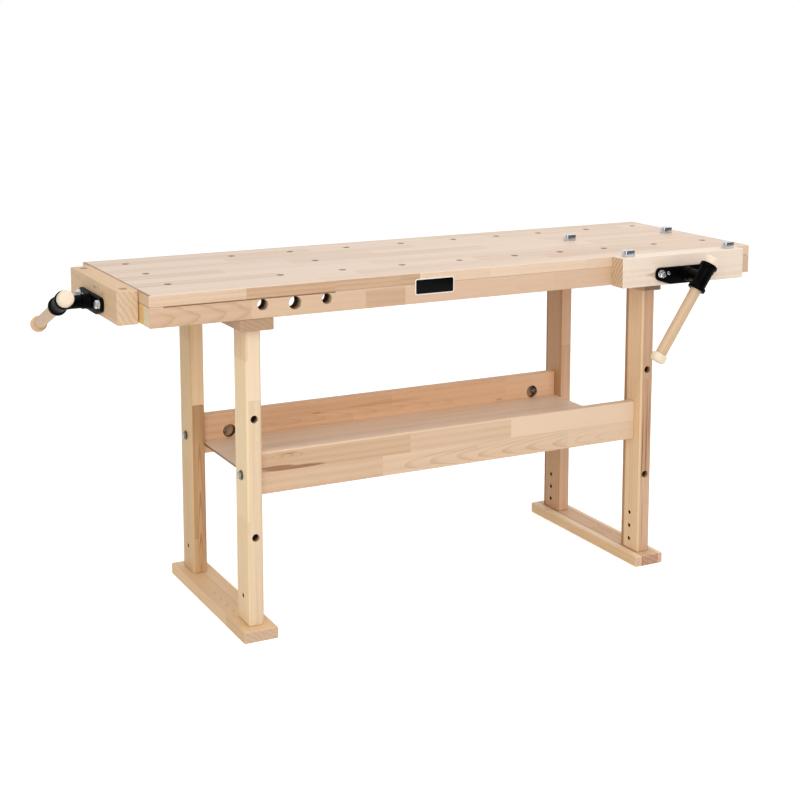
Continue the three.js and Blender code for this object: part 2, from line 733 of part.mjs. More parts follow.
// Guide body under the slab: a plate behind the apron or end rail, with sleeves for the rods and the screw.
function guideBody(wall) {
  const plateFace = wall + SEAT_GAP;
  const sleeves = [[0, 0, NUT_SLEEVE_DIAMETER], ...rodSides.map((x) => [x, ROD_RISE, ROD_SLEEVE_DIAMETER])];
  const length = ROD_SPACING + GUIDE_PLATE_HEIGHT;
  const plate = new THREE.ExtrudeGeometry(plateOutline(length, GUIDE_PLATE_HEIGHT, GUIDE_PLATE_CORNER), {
    depth: GUIDE_PLATE_THICKNESS,
    bevelEnabled: false,
    curveSegments: 3,
  });
  return cut(
    join(
      alongY(plate).translate(0, plateFace + GUIDE_PLATE_THICKNESS, 0),
      ...sleeves.map(([x, rise, diameter]) =>
        round(diameter, GUIDE_LENGTH, "y").translate(x, plateFace + GUIDE_LENGTH / 2, rise),
      ),
    ),
    ...viseBores(GUIDE_LENGTH, "y").map(([x, rise, bore]) =>
      bore.translate(x, plateFace + GUIDE_LENGTH / 2, rise),
    ),
  );
}

// Handle head, about the middle of the bar with the bar along Z: a collared cross bore on a stem.
const hubHalf = HUB_LENGTH / 2;
const collarRadius = HUB_COLLAR_DIAMETER / 2;
const stemLength = bossFront - SEAT_GAP - barY;
const handleHead = cut(
  join(
    turned([
      [0, -hubHalf],
      [collarRadius - EASE, -hubHalf],
      [collarRadius, EASE - hubHalf],
      [collarRadius, HUB_COLLAR_WIDTH - hubHalf],
      [HUB_DIAMETER / 2, HUB_COLLAR_WIDTH - hubHalf],
      [HUB_DIAMETER / 2, hubHalf - HUB_COLLAR_WIDTH],
      [collarRadius, hubHalf - HUB_COLLAR_WIDTH],
      [collarRadius, hubHalf - EASE],
      [collarRadius - EASE, hubHalf],
      [0, hubHalf],
    ]),
    round(STEM_DIAMETER, stemLength, "y").translate(0, stemLength / 2, 0),
  ),
  round(BAR_DIAMETER + 2 * SLIDE_PLAY, HUB_LENGTH + 2 * boreExtra, "z"),
  round(SCREW_NECK_DIAMETER + 2 * BOLT_PLAY, 2 * SOCKET_DEPTH, "y").translate(0, stemLength, 0),
);

// Handle bar with a turned tenon at each end, and its two caps. The upper cap rests on the head.
const upperCapFace = hubHalf + SEAT_GAP;
const barTop = upperCapFace - SEAT_GAP;
const barBottom = barTop - BAR_LENGTH;
const handleBar = turned([
  [0, barBottom - BAR_TENON_LENGTH],
  [BAR_TENON_DIAMETER / 2, barBottom - BAR_TENON_LENGTH],
  [BAR_TENON_DIAMETER / 2, barBottom],
  [BAR_DIAMETER / 2, barBottom],
  [BAR_DIAMETER / 2, barTop],
  [BAR_TENON_DIAMETER / 2, barTop],
  [BAR_TENON_DIAMETER / 2, barTop + BAR_TENON_LENGTH],
  [0, barTop + BAR_TENON_LENGTH],
]);
const handleCap = cut(
  turned([
    [0, 0],
    [CAP_DIAMETER / 2 - EASE, 0],
    [CAP_DIAMETER / 2, EASE],
    [CAP_DIAMETER / 2, CAP_LENGTH - CAP_EASE],
    [CAP_DIAMETER / 2 - CAP_EASE, CAP_LENGTH],
    [0, CAP_LENGTH],
  ]),
  round(BAR_TENON_DIAMETER + 2 * TENON_PLAY, 2 * BAR_TENON_LENGTH, "z", HOLE_SIDES),
);

// One vise in a group of its own. wall is the thickness of the wood behind the face of the bench.
function vise(name, wall, tilt) {
  const group = new THREE.Group();
  const rear = wall + SEAT_GAP + GUIDE_LENGTH + VISE_TRAVEL + ROD_REAR;
  place(group, `${name}_jaw`, viseJaw, frameBeech);
  place(group, `${name}_flange`, viseFlange, castIron);
  place(group, `${name}_guide_body`, guideBody(wall), castIron);
  place(group, `${name}_screw`, viseScrew(rear), brightSteel);
  rodSides.forEach((x, index) => {
    const which = ["left", "right"][index];
    place(group, `${name}_rod_${which}`, guideRod(rear), brightSteel, x, 0, ROD_RISE);
    place(group, `${name}_rod_nut_${which}`, rodNut, zincSteel, x, 0, ROD_RISE);
  });
  const handle = new THREE.Group();
  handle.position.set(0, barY, 0);
  handle.rotation.y = THREE.MathUtils.degToRad(tilt);
  place(handle, `${name}_handle_head`, handleHead, castIron);
  place(handle, `${name}_handle_bar`, handleBar, turnedBeech);
  place(handle, `${name}_cap_upper`, handleCap, turnedBeech, 0, 0, upperCapFace);
  const lowerCap = new THREE.Group();
  lowerCap.position.set(0, 0, barBottom - SEAT_GAP);
  lowerCap.rotation.x = Math.PI;
  place(lowerCap, `${name}_cap_lower`, handleCap, turnedBeech);
  handle.add(lowerCap);
  group.add(handle);
  bench.add(group);
  return group;
}

const endVise = vise("end_vise", END_RAIL_THICKNESS, END_HANDLE_TILT);
endVise.position.set(leftEnd, 0, viseAxis);
endVise.rotation.z = -Math.PI / 2;

const faceVise = vise("face_vise", APRON_THICKNESS, FACE_HANDLE_TILT);
faceVise.position.set(faceViseX, front, viseAxis);
["left", "right"].forEach((which, index) =>
  place(faceVise, `jaw_dog_${which}`, benchDog, zincSteel, jawDogs[index], jawMiddleY, jawTop),
);

// The workbench stands on the middle of its bounding box.
const box = new THREE.Box3().setFromObject(bench, true);
bench.position.set(-(box.min.x + box.max.x) / 2, -(box.min.y + box.max.y) / 2, -box.min.z);

const workbench = new THREE.Group();
workbench.add(bench);
export default workbench;
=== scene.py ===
# A joiner's workbench in beech with an end vise, a front vise and bench dogs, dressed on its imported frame.
import json
import math

import bmesh
import bpy
from mathutils import Matrix, Vector


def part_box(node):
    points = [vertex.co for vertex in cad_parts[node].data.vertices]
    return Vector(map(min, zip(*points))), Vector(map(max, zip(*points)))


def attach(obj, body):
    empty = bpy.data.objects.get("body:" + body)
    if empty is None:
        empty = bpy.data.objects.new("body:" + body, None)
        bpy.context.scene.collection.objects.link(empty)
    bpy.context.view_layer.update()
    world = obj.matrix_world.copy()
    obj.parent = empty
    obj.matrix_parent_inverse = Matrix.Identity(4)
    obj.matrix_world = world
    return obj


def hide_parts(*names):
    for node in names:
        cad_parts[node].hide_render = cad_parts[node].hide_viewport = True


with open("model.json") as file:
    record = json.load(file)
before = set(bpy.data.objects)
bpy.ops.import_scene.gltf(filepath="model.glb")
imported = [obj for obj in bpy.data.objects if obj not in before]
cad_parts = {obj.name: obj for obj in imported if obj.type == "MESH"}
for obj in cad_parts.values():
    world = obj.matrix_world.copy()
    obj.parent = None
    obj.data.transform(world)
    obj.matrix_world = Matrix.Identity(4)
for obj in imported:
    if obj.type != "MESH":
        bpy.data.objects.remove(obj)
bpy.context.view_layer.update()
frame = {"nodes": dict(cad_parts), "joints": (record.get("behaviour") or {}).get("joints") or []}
joints = {joint["name"]: joint for joint in frame["joints"]}


# Feet. Each trestle stands on a flat foot of beech, glued up from boards with the grain running front to back and
# planed, with eased edges. The legs are tenoned into it, and its sawn ends show pinkish end grain. The boards of the
# right one are lipped with paler strips.


def linear(hex_colour):
    """An sRGB hex colour as linear red, green and blue with full alpha."""
    channels = [int(hex_colour[i : i + 2], 16) / 255 for i in (1, 3, 5)]
    return [c / 12.92 if c <= 0.04045 else ((c + 0.055) / 1.055) ** 2.4 for c in channels] + [1.0]


def add(tree, kind, inputs, **settings):
    """Adds a node with its settings, and links or sets the inputs that are given."""
    made = tree.nodes.new("ShaderNode" + kind)
    for key, value in settings.items():
        setattr(made, key, value)
    for key, value in inputs.items():
        if isinstance(value, bpy.types.NodeSocket):
            tree.links.new(value, made.inputs[key])
        else:
            made.inputs[key].default_value = value
    return made


def new_tree(name):
    """A new material's name and its empty node tree."""
    material = bpy.data.materials.new(name)
    material.use_nodes = True
    material.node_tree.nodes.clear()
    return material, material.node_tree


def beech_ramp(tree, depth, colour):
    """The colours of one board from its palest wood through its own colour and tan to brown heartwood."""
    own = linear(colour)
    shades = (
        (0.0, (1.10, 1.13, 1.19)),
        (0.35, (1.0, 1.0, 1.0)),
        (0.7, (0.74, 0.64, 0.54)),
        (1.0, (0.44, 0.30, 0.20)),
    )
    ramp = add(tree, "ValToRGB", {0: depth})
    while len(ramp.color_ramp.elements) < len(shades):
        ramp.color_ramp.elements.new(0.5)
    for element, (at, share) in zip(ramp.color_ramp.elements, shades):
        element.position = at
        element.color = [min(c * s, 0.93) for c, s in zip(own, share)] + [1.0]
    return ramp.outputs[0]


def planed_beech(
    node,
    along,
    across,
    colour,
    rows,
    ends,
    flank=None,
    figure=0.08,
    streaks=0.18,
    grain=2.5,
    stains=(),
    arches=(),
    rear=None,
    finger=0.0,
    end_rings=0.16,
    end_tone=None,
    eased=1.5,
    bore_shade_depths=(0.4, 5.0),
    see_through=False,
    roughness=0.5,
):
    """Planed, laminated beech for one board of the frame. The grain runs along one axis and the lamellae lie side by
    side across another. All places are in millimetres from the board's low corner. Each row is (where it ends across,
    [(where a length starts, its tone), ...]), with tones from 0, the palest, to 1, brown heartwood; 0.35 is the
    board's own colour. The flank is the colour of a first row that comes from another board. The grain is the width of
    a streak. A stain is a streak at (along, across, half length, half width, depth). Arches are nested growth lines at
    (tip along, middle across, half width, bow to that width, span along, spacing, depth); a span below 0 runs back.
    The rear is (how deep in the board a last lamella starts, how much darker it is). Edges are eased by a width.
    With an end tone the lamellae differ at the sawn ends too, and the one of that tone has the ends' own colour.
    Straight grain with faint flames, short dark ray flecks and mottled sawn ends give the eye its beech. Bore walls are
    painted with shade that deepens to a dark brown between the two bore shade depths, or all the way through from the
    front."""
    low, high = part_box(node)
    size = (high - low) * 1000.0
    material, tree = new_tree(f"planed_beech_{node}")
    place = add(tree, "TexCoord", {})
    from_corner = add(tree, "VectorMath", {0: place.outputs["Object"], 1: low}, operation="SUBTRACT")
    position = add(tree, "VectorMath", {0: from_corner.outputs[0], "Scale": 1000.0}, operation="SCALE")
    parts = add(tree, "SeparateXYZ", {0: position.outputs[0]})
    third = "XYZ".replace(along, "").replace(across, "")
    a, b, c = (parts.outputs[axis] for axis in (along, across, third))
    length = size["XYZ".index(along)]
    if finger:
        # Fingers 6 mm apart where two lengths meet.
        saw = add(tree, "Math", {0: c, 1: 3.0}, operation="PINGPONG")
        joint_at = add(tree, "Math", {0: saw.outputs[0], 1: finger / 3.0, 2: a}, operation="MULTIPLY_ADD").outputs[0]
    else:
        joint_at = a
    tone = None
    unit = add(tree, "MapRange", {0: joint_at, 2: length})
    for limit, lengths in reversed(rows):
        ramp = add(tree, "ValToRGB", {0: unit.outputs[0]})
        ramp.color_ramp.interpolation = "CONSTANT"
        while len(ramp.color_ramp.elements) > 1:
            ramp.color_ramp.elements.remove(ramp.color_ramp.elements[-1])
        for index, (start, value) in enumerate(lengths):
            element = ramp.color_ramp.elements[0] if index == 0 else ramp.color_ramp.elements.new(start / length)
            element.position = start / length
            element.color = (value, value, value, 1.0)
        if tone is None:
            tone = ramp.outputs[0]
            continue
        beyond = add(tree, "Math", {0: b, 1: limit}, operation="GREATER_THAN")
        tone = add(tree, "Mix", {0: beyond.outputs[0], 2: ramp.outputs[0], 3: tone}).outputs[0]
    # Each length of each lamella comes from another part of the tree.
    shift = add(tree, "VectorMath", {0: tone, 1: (3100.0, 870.0, 1430.0)}, operation="MULTIPLY")
    lengthwise = add(tree, "CombineXYZ", {0: a, 1: b, 2: c})
    grown = add(tree, "VectorMath", {0: lengthwise.outputs[0], 1: shift.outputs[0]})
    # Growth rings about 11 mm apart, drawn out along the grain so that they flame.
    drawn = add(tree, "VectorMath", {0: grown.outputs[0], 1: (0.04, 1.0, 1.0)}, operation="MULTIPLY")
    rings = add(
        tree,
        "TexWave",
        {"Vector": drawn.outputs[0], "Scale": 0.314 / 11.0, "Distortion": 7.0, "Detail": 3.0, "Detail Scale": 0.5},
        wave_type="RINGS",
        rings_direction="X",
    )
    # Streaks 64 times as long as wide, and ray flecks drawn at 1.2 by 9 mm, twice their size, so that they show.
    streak_scale = (1 / (64 * grain), 1 / grain, 1 / grain)
    streak_size = add(tree, "VectorMath", {0: grown.outputs[0], 1: streak_scale}, operation="MULTIPLY")
    streak = add(tree, "TexNoise", {"Vector": streak_size.outputs[0], "Scale": 1.0, "Detail": 4.0, "Roughness": 0.62})
    fleck_size = add(tree, "VectorMath", {0: grown.outputs[0], 1: (1 / 9, 1 / 1.2, 1 / 1.2)}, operation="MULTIPLY")
    fleck = add(tree, "TexNoise", {"Vector": fleck_size.outputs[0], "Scale": 1.0, "Detail": 1.0})
    flecks = add(tree, "MapRange", {0: fleck.outputs[0], 1: 0.58, 2: 0.74})
    cloud_size = add(tree, "VectorMath", {0: grown.outputs[0], 1: (1 / 380, 1 / 26, 1 / 26)}, operation="MULTIPLY")
    cloud = add(tree, "TexNoise", {"Vector": cloud_size.outputs[0], "Scale": 1.0, "Detail": 3.0})
    depth = add(tree, "Math", {0: rings.outputs["Fac"], 1: figure, 2: tone}, operation="MULTIPLY_ADD")
    depth = add(tree, "Math", {0: streak.outputs[0], 1: streaks, 2: depth.outputs[0]}, operation="MULTIPLY_ADD")
    depth = add(tree, "Math", {0: cloud.outputs[0], 1: 0.22, 2: depth.outputs[0]}, operation="MULTIPLY_ADD")
    depth = add(tree, "Math", {0: flecks.outputs[0], 1: 0.08, 2: depth.outputs[0]}, operation="MULTIPLY_ADD")
    middle = (figure + streaks + 0.22) / 2 + 0.01
    depth = add(tree, "Math", {0: depth.outputs[0], 1: middle}, operation="SUBTRACT")
    for centre, height, half_length, half_width, strength in stains:
        x = add(tree, "Math", {0: a, 1: 1 / half_length, 2: -centre / half_length}, operation="MULTIPLY_ADD")
        y = add(tree, "Math", {0: b, 1: 1 / half_width, 2: -height / half_width}, operation="MULTIPLY_ADD")
        wandered = add(tree, "Math", {0: cloud.outputs[0], 1: 3.0, 2: y.outputs[0]}, operation="MULTIPLY_ADD")
        straight = add(tree, "Math", {0: wandered.outputs[0], 1: 1.5}, operation="SUBTRACT")
        spread = add(tree, "CombineXYZ", {0: x.outputs[0], 1: straight.outputs[0]})
        away = add(tree, "VectorMath", {0: spread.outputs[0]}, operation="LENGTH")
        mask = add(tree, "MapRange", {0: away.outputs["Value"], 1: 1.0, 2: 0.35}, interpolation_type="SMOOTHSTEP")
        depth = add(tree, "Math", {0: mask.outputs[0], 1: strength, 2: depth.outputs[0]}, operation="MULTIPLY_ADD")
    if rear:
        behind = add(tree, "Math", {0: c, 1: rear[0]}, operation="GREATER_THAN")
        depth = add(tree, "Math", {0: behind.outputs[0], 1: rear[1], 2: depth.outputs[0]}, operation="MULTIPLY_ADD")
    for tip, centre, half_width, bow, span, spacing, strength in arches:
        # Each line is a parabola, bent by the slow cloud and dark at its outer side.
        ahead = math.copysign(1 / bow, span)
        x = add(tree, "Math", {0: a, 1: ahead, 2: -tip * ahead}, operation="MULTIPLY_ADD")
        y = add(tree, "Math", {0: b, 1: 1 / half_width, 2: -centre / half_width}, operation="MULTIPLY_ADD")
        curve = add(tree, "Math", {0: y.outputs[0], 1: y.outputs[0]}, operation="MULTIPLY")
        within = add(tree, "Math", {0: x.outputs[0], 1: curve.outputs[0]}, operation="SUBTRACT")
        lines = add(tree, "Math", {0: within.outputs[0], 1: bow / spacing}, operation="MULTIPLY")
        bent = add(tree, "Math", {0: cloud.outputs[0], 1: 1.2, 2: lines.outputs[0]}, operation="MULTIPLY_ADD")
        bent = add(tree, "Math", {0: bent.outputs[0], 1: 0.6}, operation="SUBTRACT")
        saw = add(tree, "Math", {0: bent.outputs[0]}, operation="FRACT")
        line = add(tree, "MapRange", {0: saw.outputs[0], 2: 0.4, 3: 1.0, 4: 0.0})
        inside = add(tree, "MapRange", {0: bent.outputs[0], 2: 0.05})
        fade = add(tree, "MapRange", {0: x.outputs[0], 1: abs(span) / bow, 2: 0.75 * abs(span) / bow})
        shown = add(tree, "Math", {0: line.outputs[0], 1: inside.outputs[0]}, operation="MULTIPLY")
        shown = add(tree, "Math", {0: shown.outputs[0], 1: fade.outputs[0]}, operation="MULTIPLY")
        depth = add(tree, "Math", {0: shown.outputs[0], 1: strength, 2: depth.outputs[0]}, operation="MULTIPLY_ADD")
    flat = beech_ramp(tree, depth.outputs[0], colour)
    if flank:
        beyond = add(tree, "Math", {0: b, 1: rows[0][0]}, operation="GREATER_THAN")
        other = beech_ramp(tree, depth.outputs[0], flank)
        flat = add(tree, "Mix", {0: beyond.outputs[0], 6: other, 7: flat}, data_type="RGBA").outputs[2]
    # Sawn ends: pores and soft rings, a little browner than the faces.
    facing = add(tree, "SeparateXYZ", {0: place.outputs["Normal"]})
    endwise = add(tree, "Math", {0: facing.outputs[along]}, operation="ABSOLUTE")
    sawn = add(tree, "MapRange", {0: endwise.outputs[0], 1: 0.8, 2: 0.95})
    pores = add(tree, "TexNoise", {"Vector": grown.outputs[0], "Scale": 0.4, "Detail": 4.0, "Roughness": 0.75})
    end_depth = add(tree, "Math", {0: rings.outputs["Fac"], 1: end_rings, 2: pores.outputs[0]}, operation="MULTIPLY_ADD")
    end_depth = add(tree, "Math", {0: end_depth.outputs[0], 1: 0.12 + end_rings / 2}, operation="SUBTRACT")
    if end_tone is not None:
        other = add(tree, "Math", {0: tone, 1: end_tone}, operation="SUBTRACT")
        end_depth = add(tree, "Math", {0: end_depth.outputs[0], 1: other.outputs[0]}, operation="ADD")
    end = beech_ramp(tree, end_depth.outputs[0], ends)
    outside = add(tree, "Mix", {0: sawn.outputs[0], 6: flat, 7: end}, data_type="RGBA")
    # Bores: a point inside the box that is near one face only, not near two as on an eased edge, is on a hole's wall,
    # where painted shade darkens the wood with depth.
    half = size / 2
    from_middle = add(tree, "VectorMath", {0: position.outputs[0], 1: half}, operation="SUBTRACT")
    from_middle = add(tree, "VectorMath", {0: from_middle.outputs[0]}, operation="ABSOLUTE")
    inward = add(tree, "VectorMath", {0: half, 1: from_middle.outputs[0]}, operation="SUBTRACT")
    inward = add(tree, "SeparateXYZ", {0: inward.outputs[0]})
    lesser = add(tree, "Math", {0: inward.outputs[0], 1: inward.outputs[1]}, operation="MINIMUM")
    greater = add(tree, "Math", {0: inward.outputs[0], 1: inward.outputs[1]}, operation="MAXIMUM")
    deep = add(tree, "Math", {0: lesser.outputs[0], 1: inward.outputs[2]}, operation="MINIMUM")
    second = add(tree, "Math", {0: greater.outputs[0], 1: inward.outputs[2]}, operation="MINIMUM")
    second = add(tree, "Math", {0: lesser.outputs[0], 1: second.outputs[0]}, operation="MAXIMUM")
    wall = add(tree, "MapRange", {0: second.outputs[0], 1: eased + 0.1, 2: eased + 0.4})
    within = add(tree, "MapRange", {0: deep.outputs[0], 1: bore_shade_depths[0], 2: bore_shade_depths[0] + 0.3})
    wall = add(tree, "Math", {0: wall.outputs[0], 1: within.outputs[0]}, operation="MULTIPLY")
    wall_depth = c if see_through else deep.outputs[0]
    bored = add(tree, "MapRange", {0: wall_depth, 1: bore_shade_depths[0], 2: bore_shade_depths[1], 4: 0.94})
    bored = add(tree, "Math", {0: bored.outputs[0], 1: wall.outputs[0]}, operation="MULTIPLY")
    # The wall of a bore is mixed towards a dark brown as painted shade.
    surface = add(
        tree,
        "Mix",
        {0: bored.outputs[0], 6: outside.outputs[2], 7: linear("#351905")},
        data_type="RGBA",
    )
    relief = add(tree, "Math", {0: flecks.outputs[0], 1: -0.6, 2: streak.outputs[0]}, operation="MULTIPLY_ADD")
    bump = add(tree, "Bump", {"Strength": 0.1, "Distance": 0.0002, "Height": relief.outputs[0]})
    gloss = add(tree, "MapRange", {0: streak.outputs[0], 3: roughness - 0.06, 4: roughness + 0.08})
    # A wall with painted bore shade is also made matt, so that it mirrors nothing.
    shine = add(tree, "MapRange", {0: bored.outputs[0], 2: 0.6, 3: 0.5, 4: 0.0})
    shader = add(
        tree,
        "BsdfPrincipled",
        {
            "Base Color": surface.outputs[2],
            "Roughness": gloss.outputs[0],
            "IOR": 1.5,
            "Specular IOR Level": shine.outputs[0],
            "Normal": bump.outputs[0],
        },
    )
    add(tree, "OutputMaterial", {"Surface": shader.outputs[0]})
    return material


def dress(node, material):
    """Gives a CAD solid its finish."""
    frame["nodes"][node].material_slots[0].material = material


dress(
    "left_foot",
    planed_beech(
        "left_foot",
        "Y",
        "X",
        "#eeca9e",
        [
            (1, [(0, 0.54), (122, 0.42)]),
            (50, [(0, 0.40), (122, 0.25)]),
            (52, [(0, 0.40), (122, 0.62)]),
            (87, [(0, 0.37), (122, 0.04)]),
        ],
        "#d4b599",
        arches=[(132, 24, 14, 60, 200, 44, 0.3)],
    ),
)
dress(
    "right_foot",
    planed_beech(
        "right_foot",
        "Y",
        "X",
        "#f4d5b5",
        [
            (1, [(0, 0.42), (330, 0.38)]),
            (10, [(0, 0.16)]),
            (20, [(0, 0.0)]),
            (22.5, [(0, 0.86)]),
            (74, [(0, 0.62), (190, 0.69), (260, 0.62)]),
            (87, [(0, 0.26)]),
        ],
        "#dbb69c",
        flank="#e6c497",
        end_tone=0.30,
    ),
)

# Legs. Four upright posts of beech with chamfered edges, glued up from two lamellae and from lengths finger-jointed
# end to end, which differ in tone. Each is tenoned into its foot below and into its rail above.
dress(
    "left_front_leg",
    planed_beech(
        "left_front_leg",
        "Z",
        "X",
        "#ebd1b0",
        [(4, [(0, 0.45), (284, 0.36), (672, 0.50)]), (38, [(0, 0.42), (572, 0.20)])],
        "#cfae8e",
        flank="#f9dbaf",
        finger=9.0,
        eased=4.0,
        bore_shade_depths=(0.3, 15.0),
        see_through=True,
    ),
)
dress(
    "left_rear_leg",
    planed_beech(
        "left_rear_leg",
        "Z",
        "X",
        "#f4d4a9",
        [(4, [(0, 0.42), (321, 0.35), (651, 0.44)]), (38, [(0, 0.76), (111, 0.83), (472, 0.37)])],
        "#cfae8e",
        flank="#ddba89",
        stains=[(170, 36, 170, 3, 0.32)],
        arches=[(345, 22, 9, 170, -330, 105, 0.40)],
        finger=14.0,
        eased=4.0,
        bore_shade_depths=(0.3, 15.0),
        see_through=True,
    ),
)
dress(
    "right_front_leg",
    planed_beech(
        "right_front_leg",
        "Z",
        "X",
        "#d3ac8b",
        [(4, [(0, 0.42), (505, 0.40)]), (38, [(0, 0.20), (230, 0.53), (500, 0.46)])],
        "#c09a7a",
        flank="#eecda4",
        stains=[(300, 9, 170, 3.0, 0.5), (330, 22, 190, 3.4, 0.36), (110, 13, 110, 2.6, 0.5), (390, 29, 110, 2.6, 0.3)],
        rear=(64, 0.5),
        finger=9.0,
        eased=4.0,
        bore_shade_depths=(0.3, 15.0),
        see_through=True,
    ),
)
dress(
    "right_rear_leg",
    planed_beech(
        "right_rear_leg",
        "Z",
        "X",
        "#e2ba97",
        [(4, [(0, 0.55), (300, 0.62)]), (38, [(0, 0.42), (260, 0.48), (520, 0.38)])],
        "#b08a6b",
        flank="#d2a97f",
        rear=(69, 0.8),
        finger=9.0,
        eased=4.0,
        bore_shade_depths=(0.3, 15.0),
        see_through=True,
    ),
)

# Top rails. A flat beech rail lies on the legs of each trestle and carries the top. The one on the left is as wide as
# its foot, and the one on the right is narrower. Their ends show under the front apron, and those of the right one are
# painted darker as the shadow of the front vise jaw.
dress(
    "left_top_rail",
    planed_beech("left_top_rail", "Y", "X", "#c8a27e", [(82, [(0, 0.42), (300, 0.36)])], "#b69577"),
)
dress(
    "right_top_rail",
    # The darker end colour is painted shadow from the front vise jaw above.
    planed_beech("right_top_rail", "Y", "X", "#c8a27e", [(55, [(0, 0.40), (280, 0.35)])], "#8a715a"),
)

# Stretchers. Two upright beech boards tie the trestles together, each glued up from two lamellae. The front one has
# a streak of brown heartwood along its glue line, and both are bored and pocketed for the bolts.
dress(
    "front_stretcher",
    planed_beech(
        "front_stretcher",
        "X",
        "Z",
        "#e2c3a4",
        [
            (52, [(0, 0.50), (332, 0.38), (606, 0.36), (876, 0.25)]),
            (100, [(0, 0.57), (406, 0.43), (704, 0.0)]),
            # The top 4 mm, up to the upper arris, are painted palest as a highlight.
            (104, [(0, 0.0)]),
        ],
        "#c7a180",
        stains=[(92, 58, 100, 6, 0.95), (45, 64, 60, 5, 0.7), (81, 93, 30, 4, 0.2)],
        arches=[(388, 20, 26, 170, 740, 74, 0.22), (118, 88, 9, 40, -86, 26, 0.2)],
    ),
)
dress(
    "rear_stretcher",
    planed_beech(
        "rear_stretcher",
        "X",
        "Z",
        # Its colour is set much paler than the front one's, painted light that makes up for the shade under the top.
        "#f5cca6",
        [(50, [(0, 0.40), (436, 0.34), (876, 0.42)]), (104, [(0, 0.44), (556, 0.38), (926, 0.33)])],
        "#c7a180",
        stains=[(536, 77, 160, 9, 0.14), (330, 70, 22, 3, 0.3), (905, 40, 16, 4, 0.3)],
        arches=[(760, 55, 22, 200, -700, 80, 0.12)],
        bore_shade_depths=(0.4, 9.0),
    ),
)

# Shelf. A thin panel faced with beech veneer lies in a groove along each stretcher. Its veneer is a little browner than
# the planed boards, and its sawn edge shows at both ends. Its colour is still set paler than theirs, as painted light
# that makes up for the shade under the top.
dress(
    "shelf_panel",
    planed_beech(
        "shelf_panel",
        "X",
        "Y",
        "#f6e2cd",
        [(120, [(0, 0.40)]), (270, [(0, 0.46)]), (500, [(0, 0.38)])],
        "#8d6445",
        streaks=0.3,
        grain=9.0,
        roughness=0.42,
    ),
)

# Stretcher bolts. From the outside of each leg a hexagon bolt runs through a broad washer into the end of a
# stretcher, where a nut waits in a round pocket. All are steel, zinc plated and a little dull.


def zinc(name, colour, roughness):
    """Steel plated with zinc: a cool grey metal with a fine crystal bloom and faint turning marks."""
    material, tree = new_tree(name)
    place = add(tree, "TexCoord", {})
    # A bloom of crystals drawn at 1.5 mm, larger than life, so that it shows.
    bloom = add(tree, "TexNoise", {"Vector": place.outputs["Object"], "Scale": 1 / 0.0015, "Detail": 2.0})
    cloud = add(tree, "TexNoise", {"Vector": place.outputs["Object"], "Scale": 1 / 0.009, "Detail": 2.0})
    darker = [c * 0.72 for c in linear(colour)[:3]] + [1.0]
    tint = add(tree, "Mix", {0: cloud.outputs[0], 6: darker, 7: linear(colour)}, data_type="RGBA")
    gloss = add(tree, "MapRange", {0: bloom.outputs[0], 1: 0.3, 2: 0.7, 3: roughness - 0.07, 4: roughness + 0.09})
    bump = add(tree, "Bump", {"Strength": 0.06, "Distance": 0.0001, "Height": bloom.outputs[0]})
    shader = add(
        tree,
        "BsdfPrincipled",
        {
            "Base Color": tint.outputs[2],
            "Metallic": 1.0,
            "Roughness": gloss.outputs[0],
            "Normal": bump.outputs[0],
        },
    )
    add(tree, "OutputMaterial", {"Surface": shader.outputs[0]})
    return material


def circle(radius, height, sides=56):
    """A ring of points about Z."""
    turns = [2 * math.pi * i / sides for i in range(sides)]
    return [Vector((radius * math.cos(t), radius * math.sin(t), height)) for t in turns]


def hexagon(flats, height, chamfer=0.0, sides=60):
    """A ring of points round a hexagon. With a chamfer its corners drop away as a cone turned on it would cut them."""
    ring = []
    for i in range(sides):
        turn = 2 * math.pi * i / sides
        out = flats / 2 / math.cos((turn + math.pi / 6) % (math.pi / 3) - math.pi / 6)
        drop = (out - 0.95 * flats / 2) * math.tan(math.radians(30)) * chamfer
        ring.append(Vector((out * math.cos(turn), out * math.sin(turn), height - drop)))
    return ring


def skin(mesh, rings, closed=False):
    """Adds a closed surface through rings of points, listed from one end to the other."""
    loops = [[mesh.verts.new(point) for point in ring] for ring in rings]
    for first, second in zip(loops, loops[1:] + (loops[:1] if closed else [])):
        for i in range(len(first)):
            mesh.faces.new((first[i - 1], first[i], second[i], second[i - 1]))
    if not closed:
        mesh.faces.new(loops[0])
        mesh.faces.new(loops[-1])


def set_piece(name, mesh, placement, material, body, slot, *nodes):
    """Makes a piece of a mesh, smooth but for its sharp edges, that rides on a body and stands for CAD nodes."""
    bmesh.ops.recalc_face_normals(mesh, faces=mesh.faces)
    data = bpy.data.meshes.new(name)
    mesh.to_mesh(data)
    mesh.free()
    data.polygons.foreach_set("use_smooth", [True] * len(data.polygons))
    data.set_sharp_from_angle(angle=math.radians(38))
    data.materials.append(material)
    piece = bpy.data.objects.new(name, data)
    piece.matrix_world = placement
    bpy.context.scene.collection.objects.link(piece)
    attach(piece, body)
    if nodes:
        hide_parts(*nodes)
    return piece


def hexagon_nut(mesh, flats, start, end, bore):
    """A chamfered nut round a bore, or a solid bolt head where there is no bore."""
    outside = [
        circle(0.95 * flats / 2, start, 60),
        [Vector((p.x, p.y, start + (end - p.z))) for p in hexagon(flats, end, 1.0)],
        hexagon(flats, end, 1.0),
        circle(0.95 * flats / 2, end, 60),
    ]
    if bore:
        skin(mesh, outside + [circle(bore / 2, end, 60), circle(bore / 2, start, 60)], closed=True)
    else:
        skin(mesh, outside)


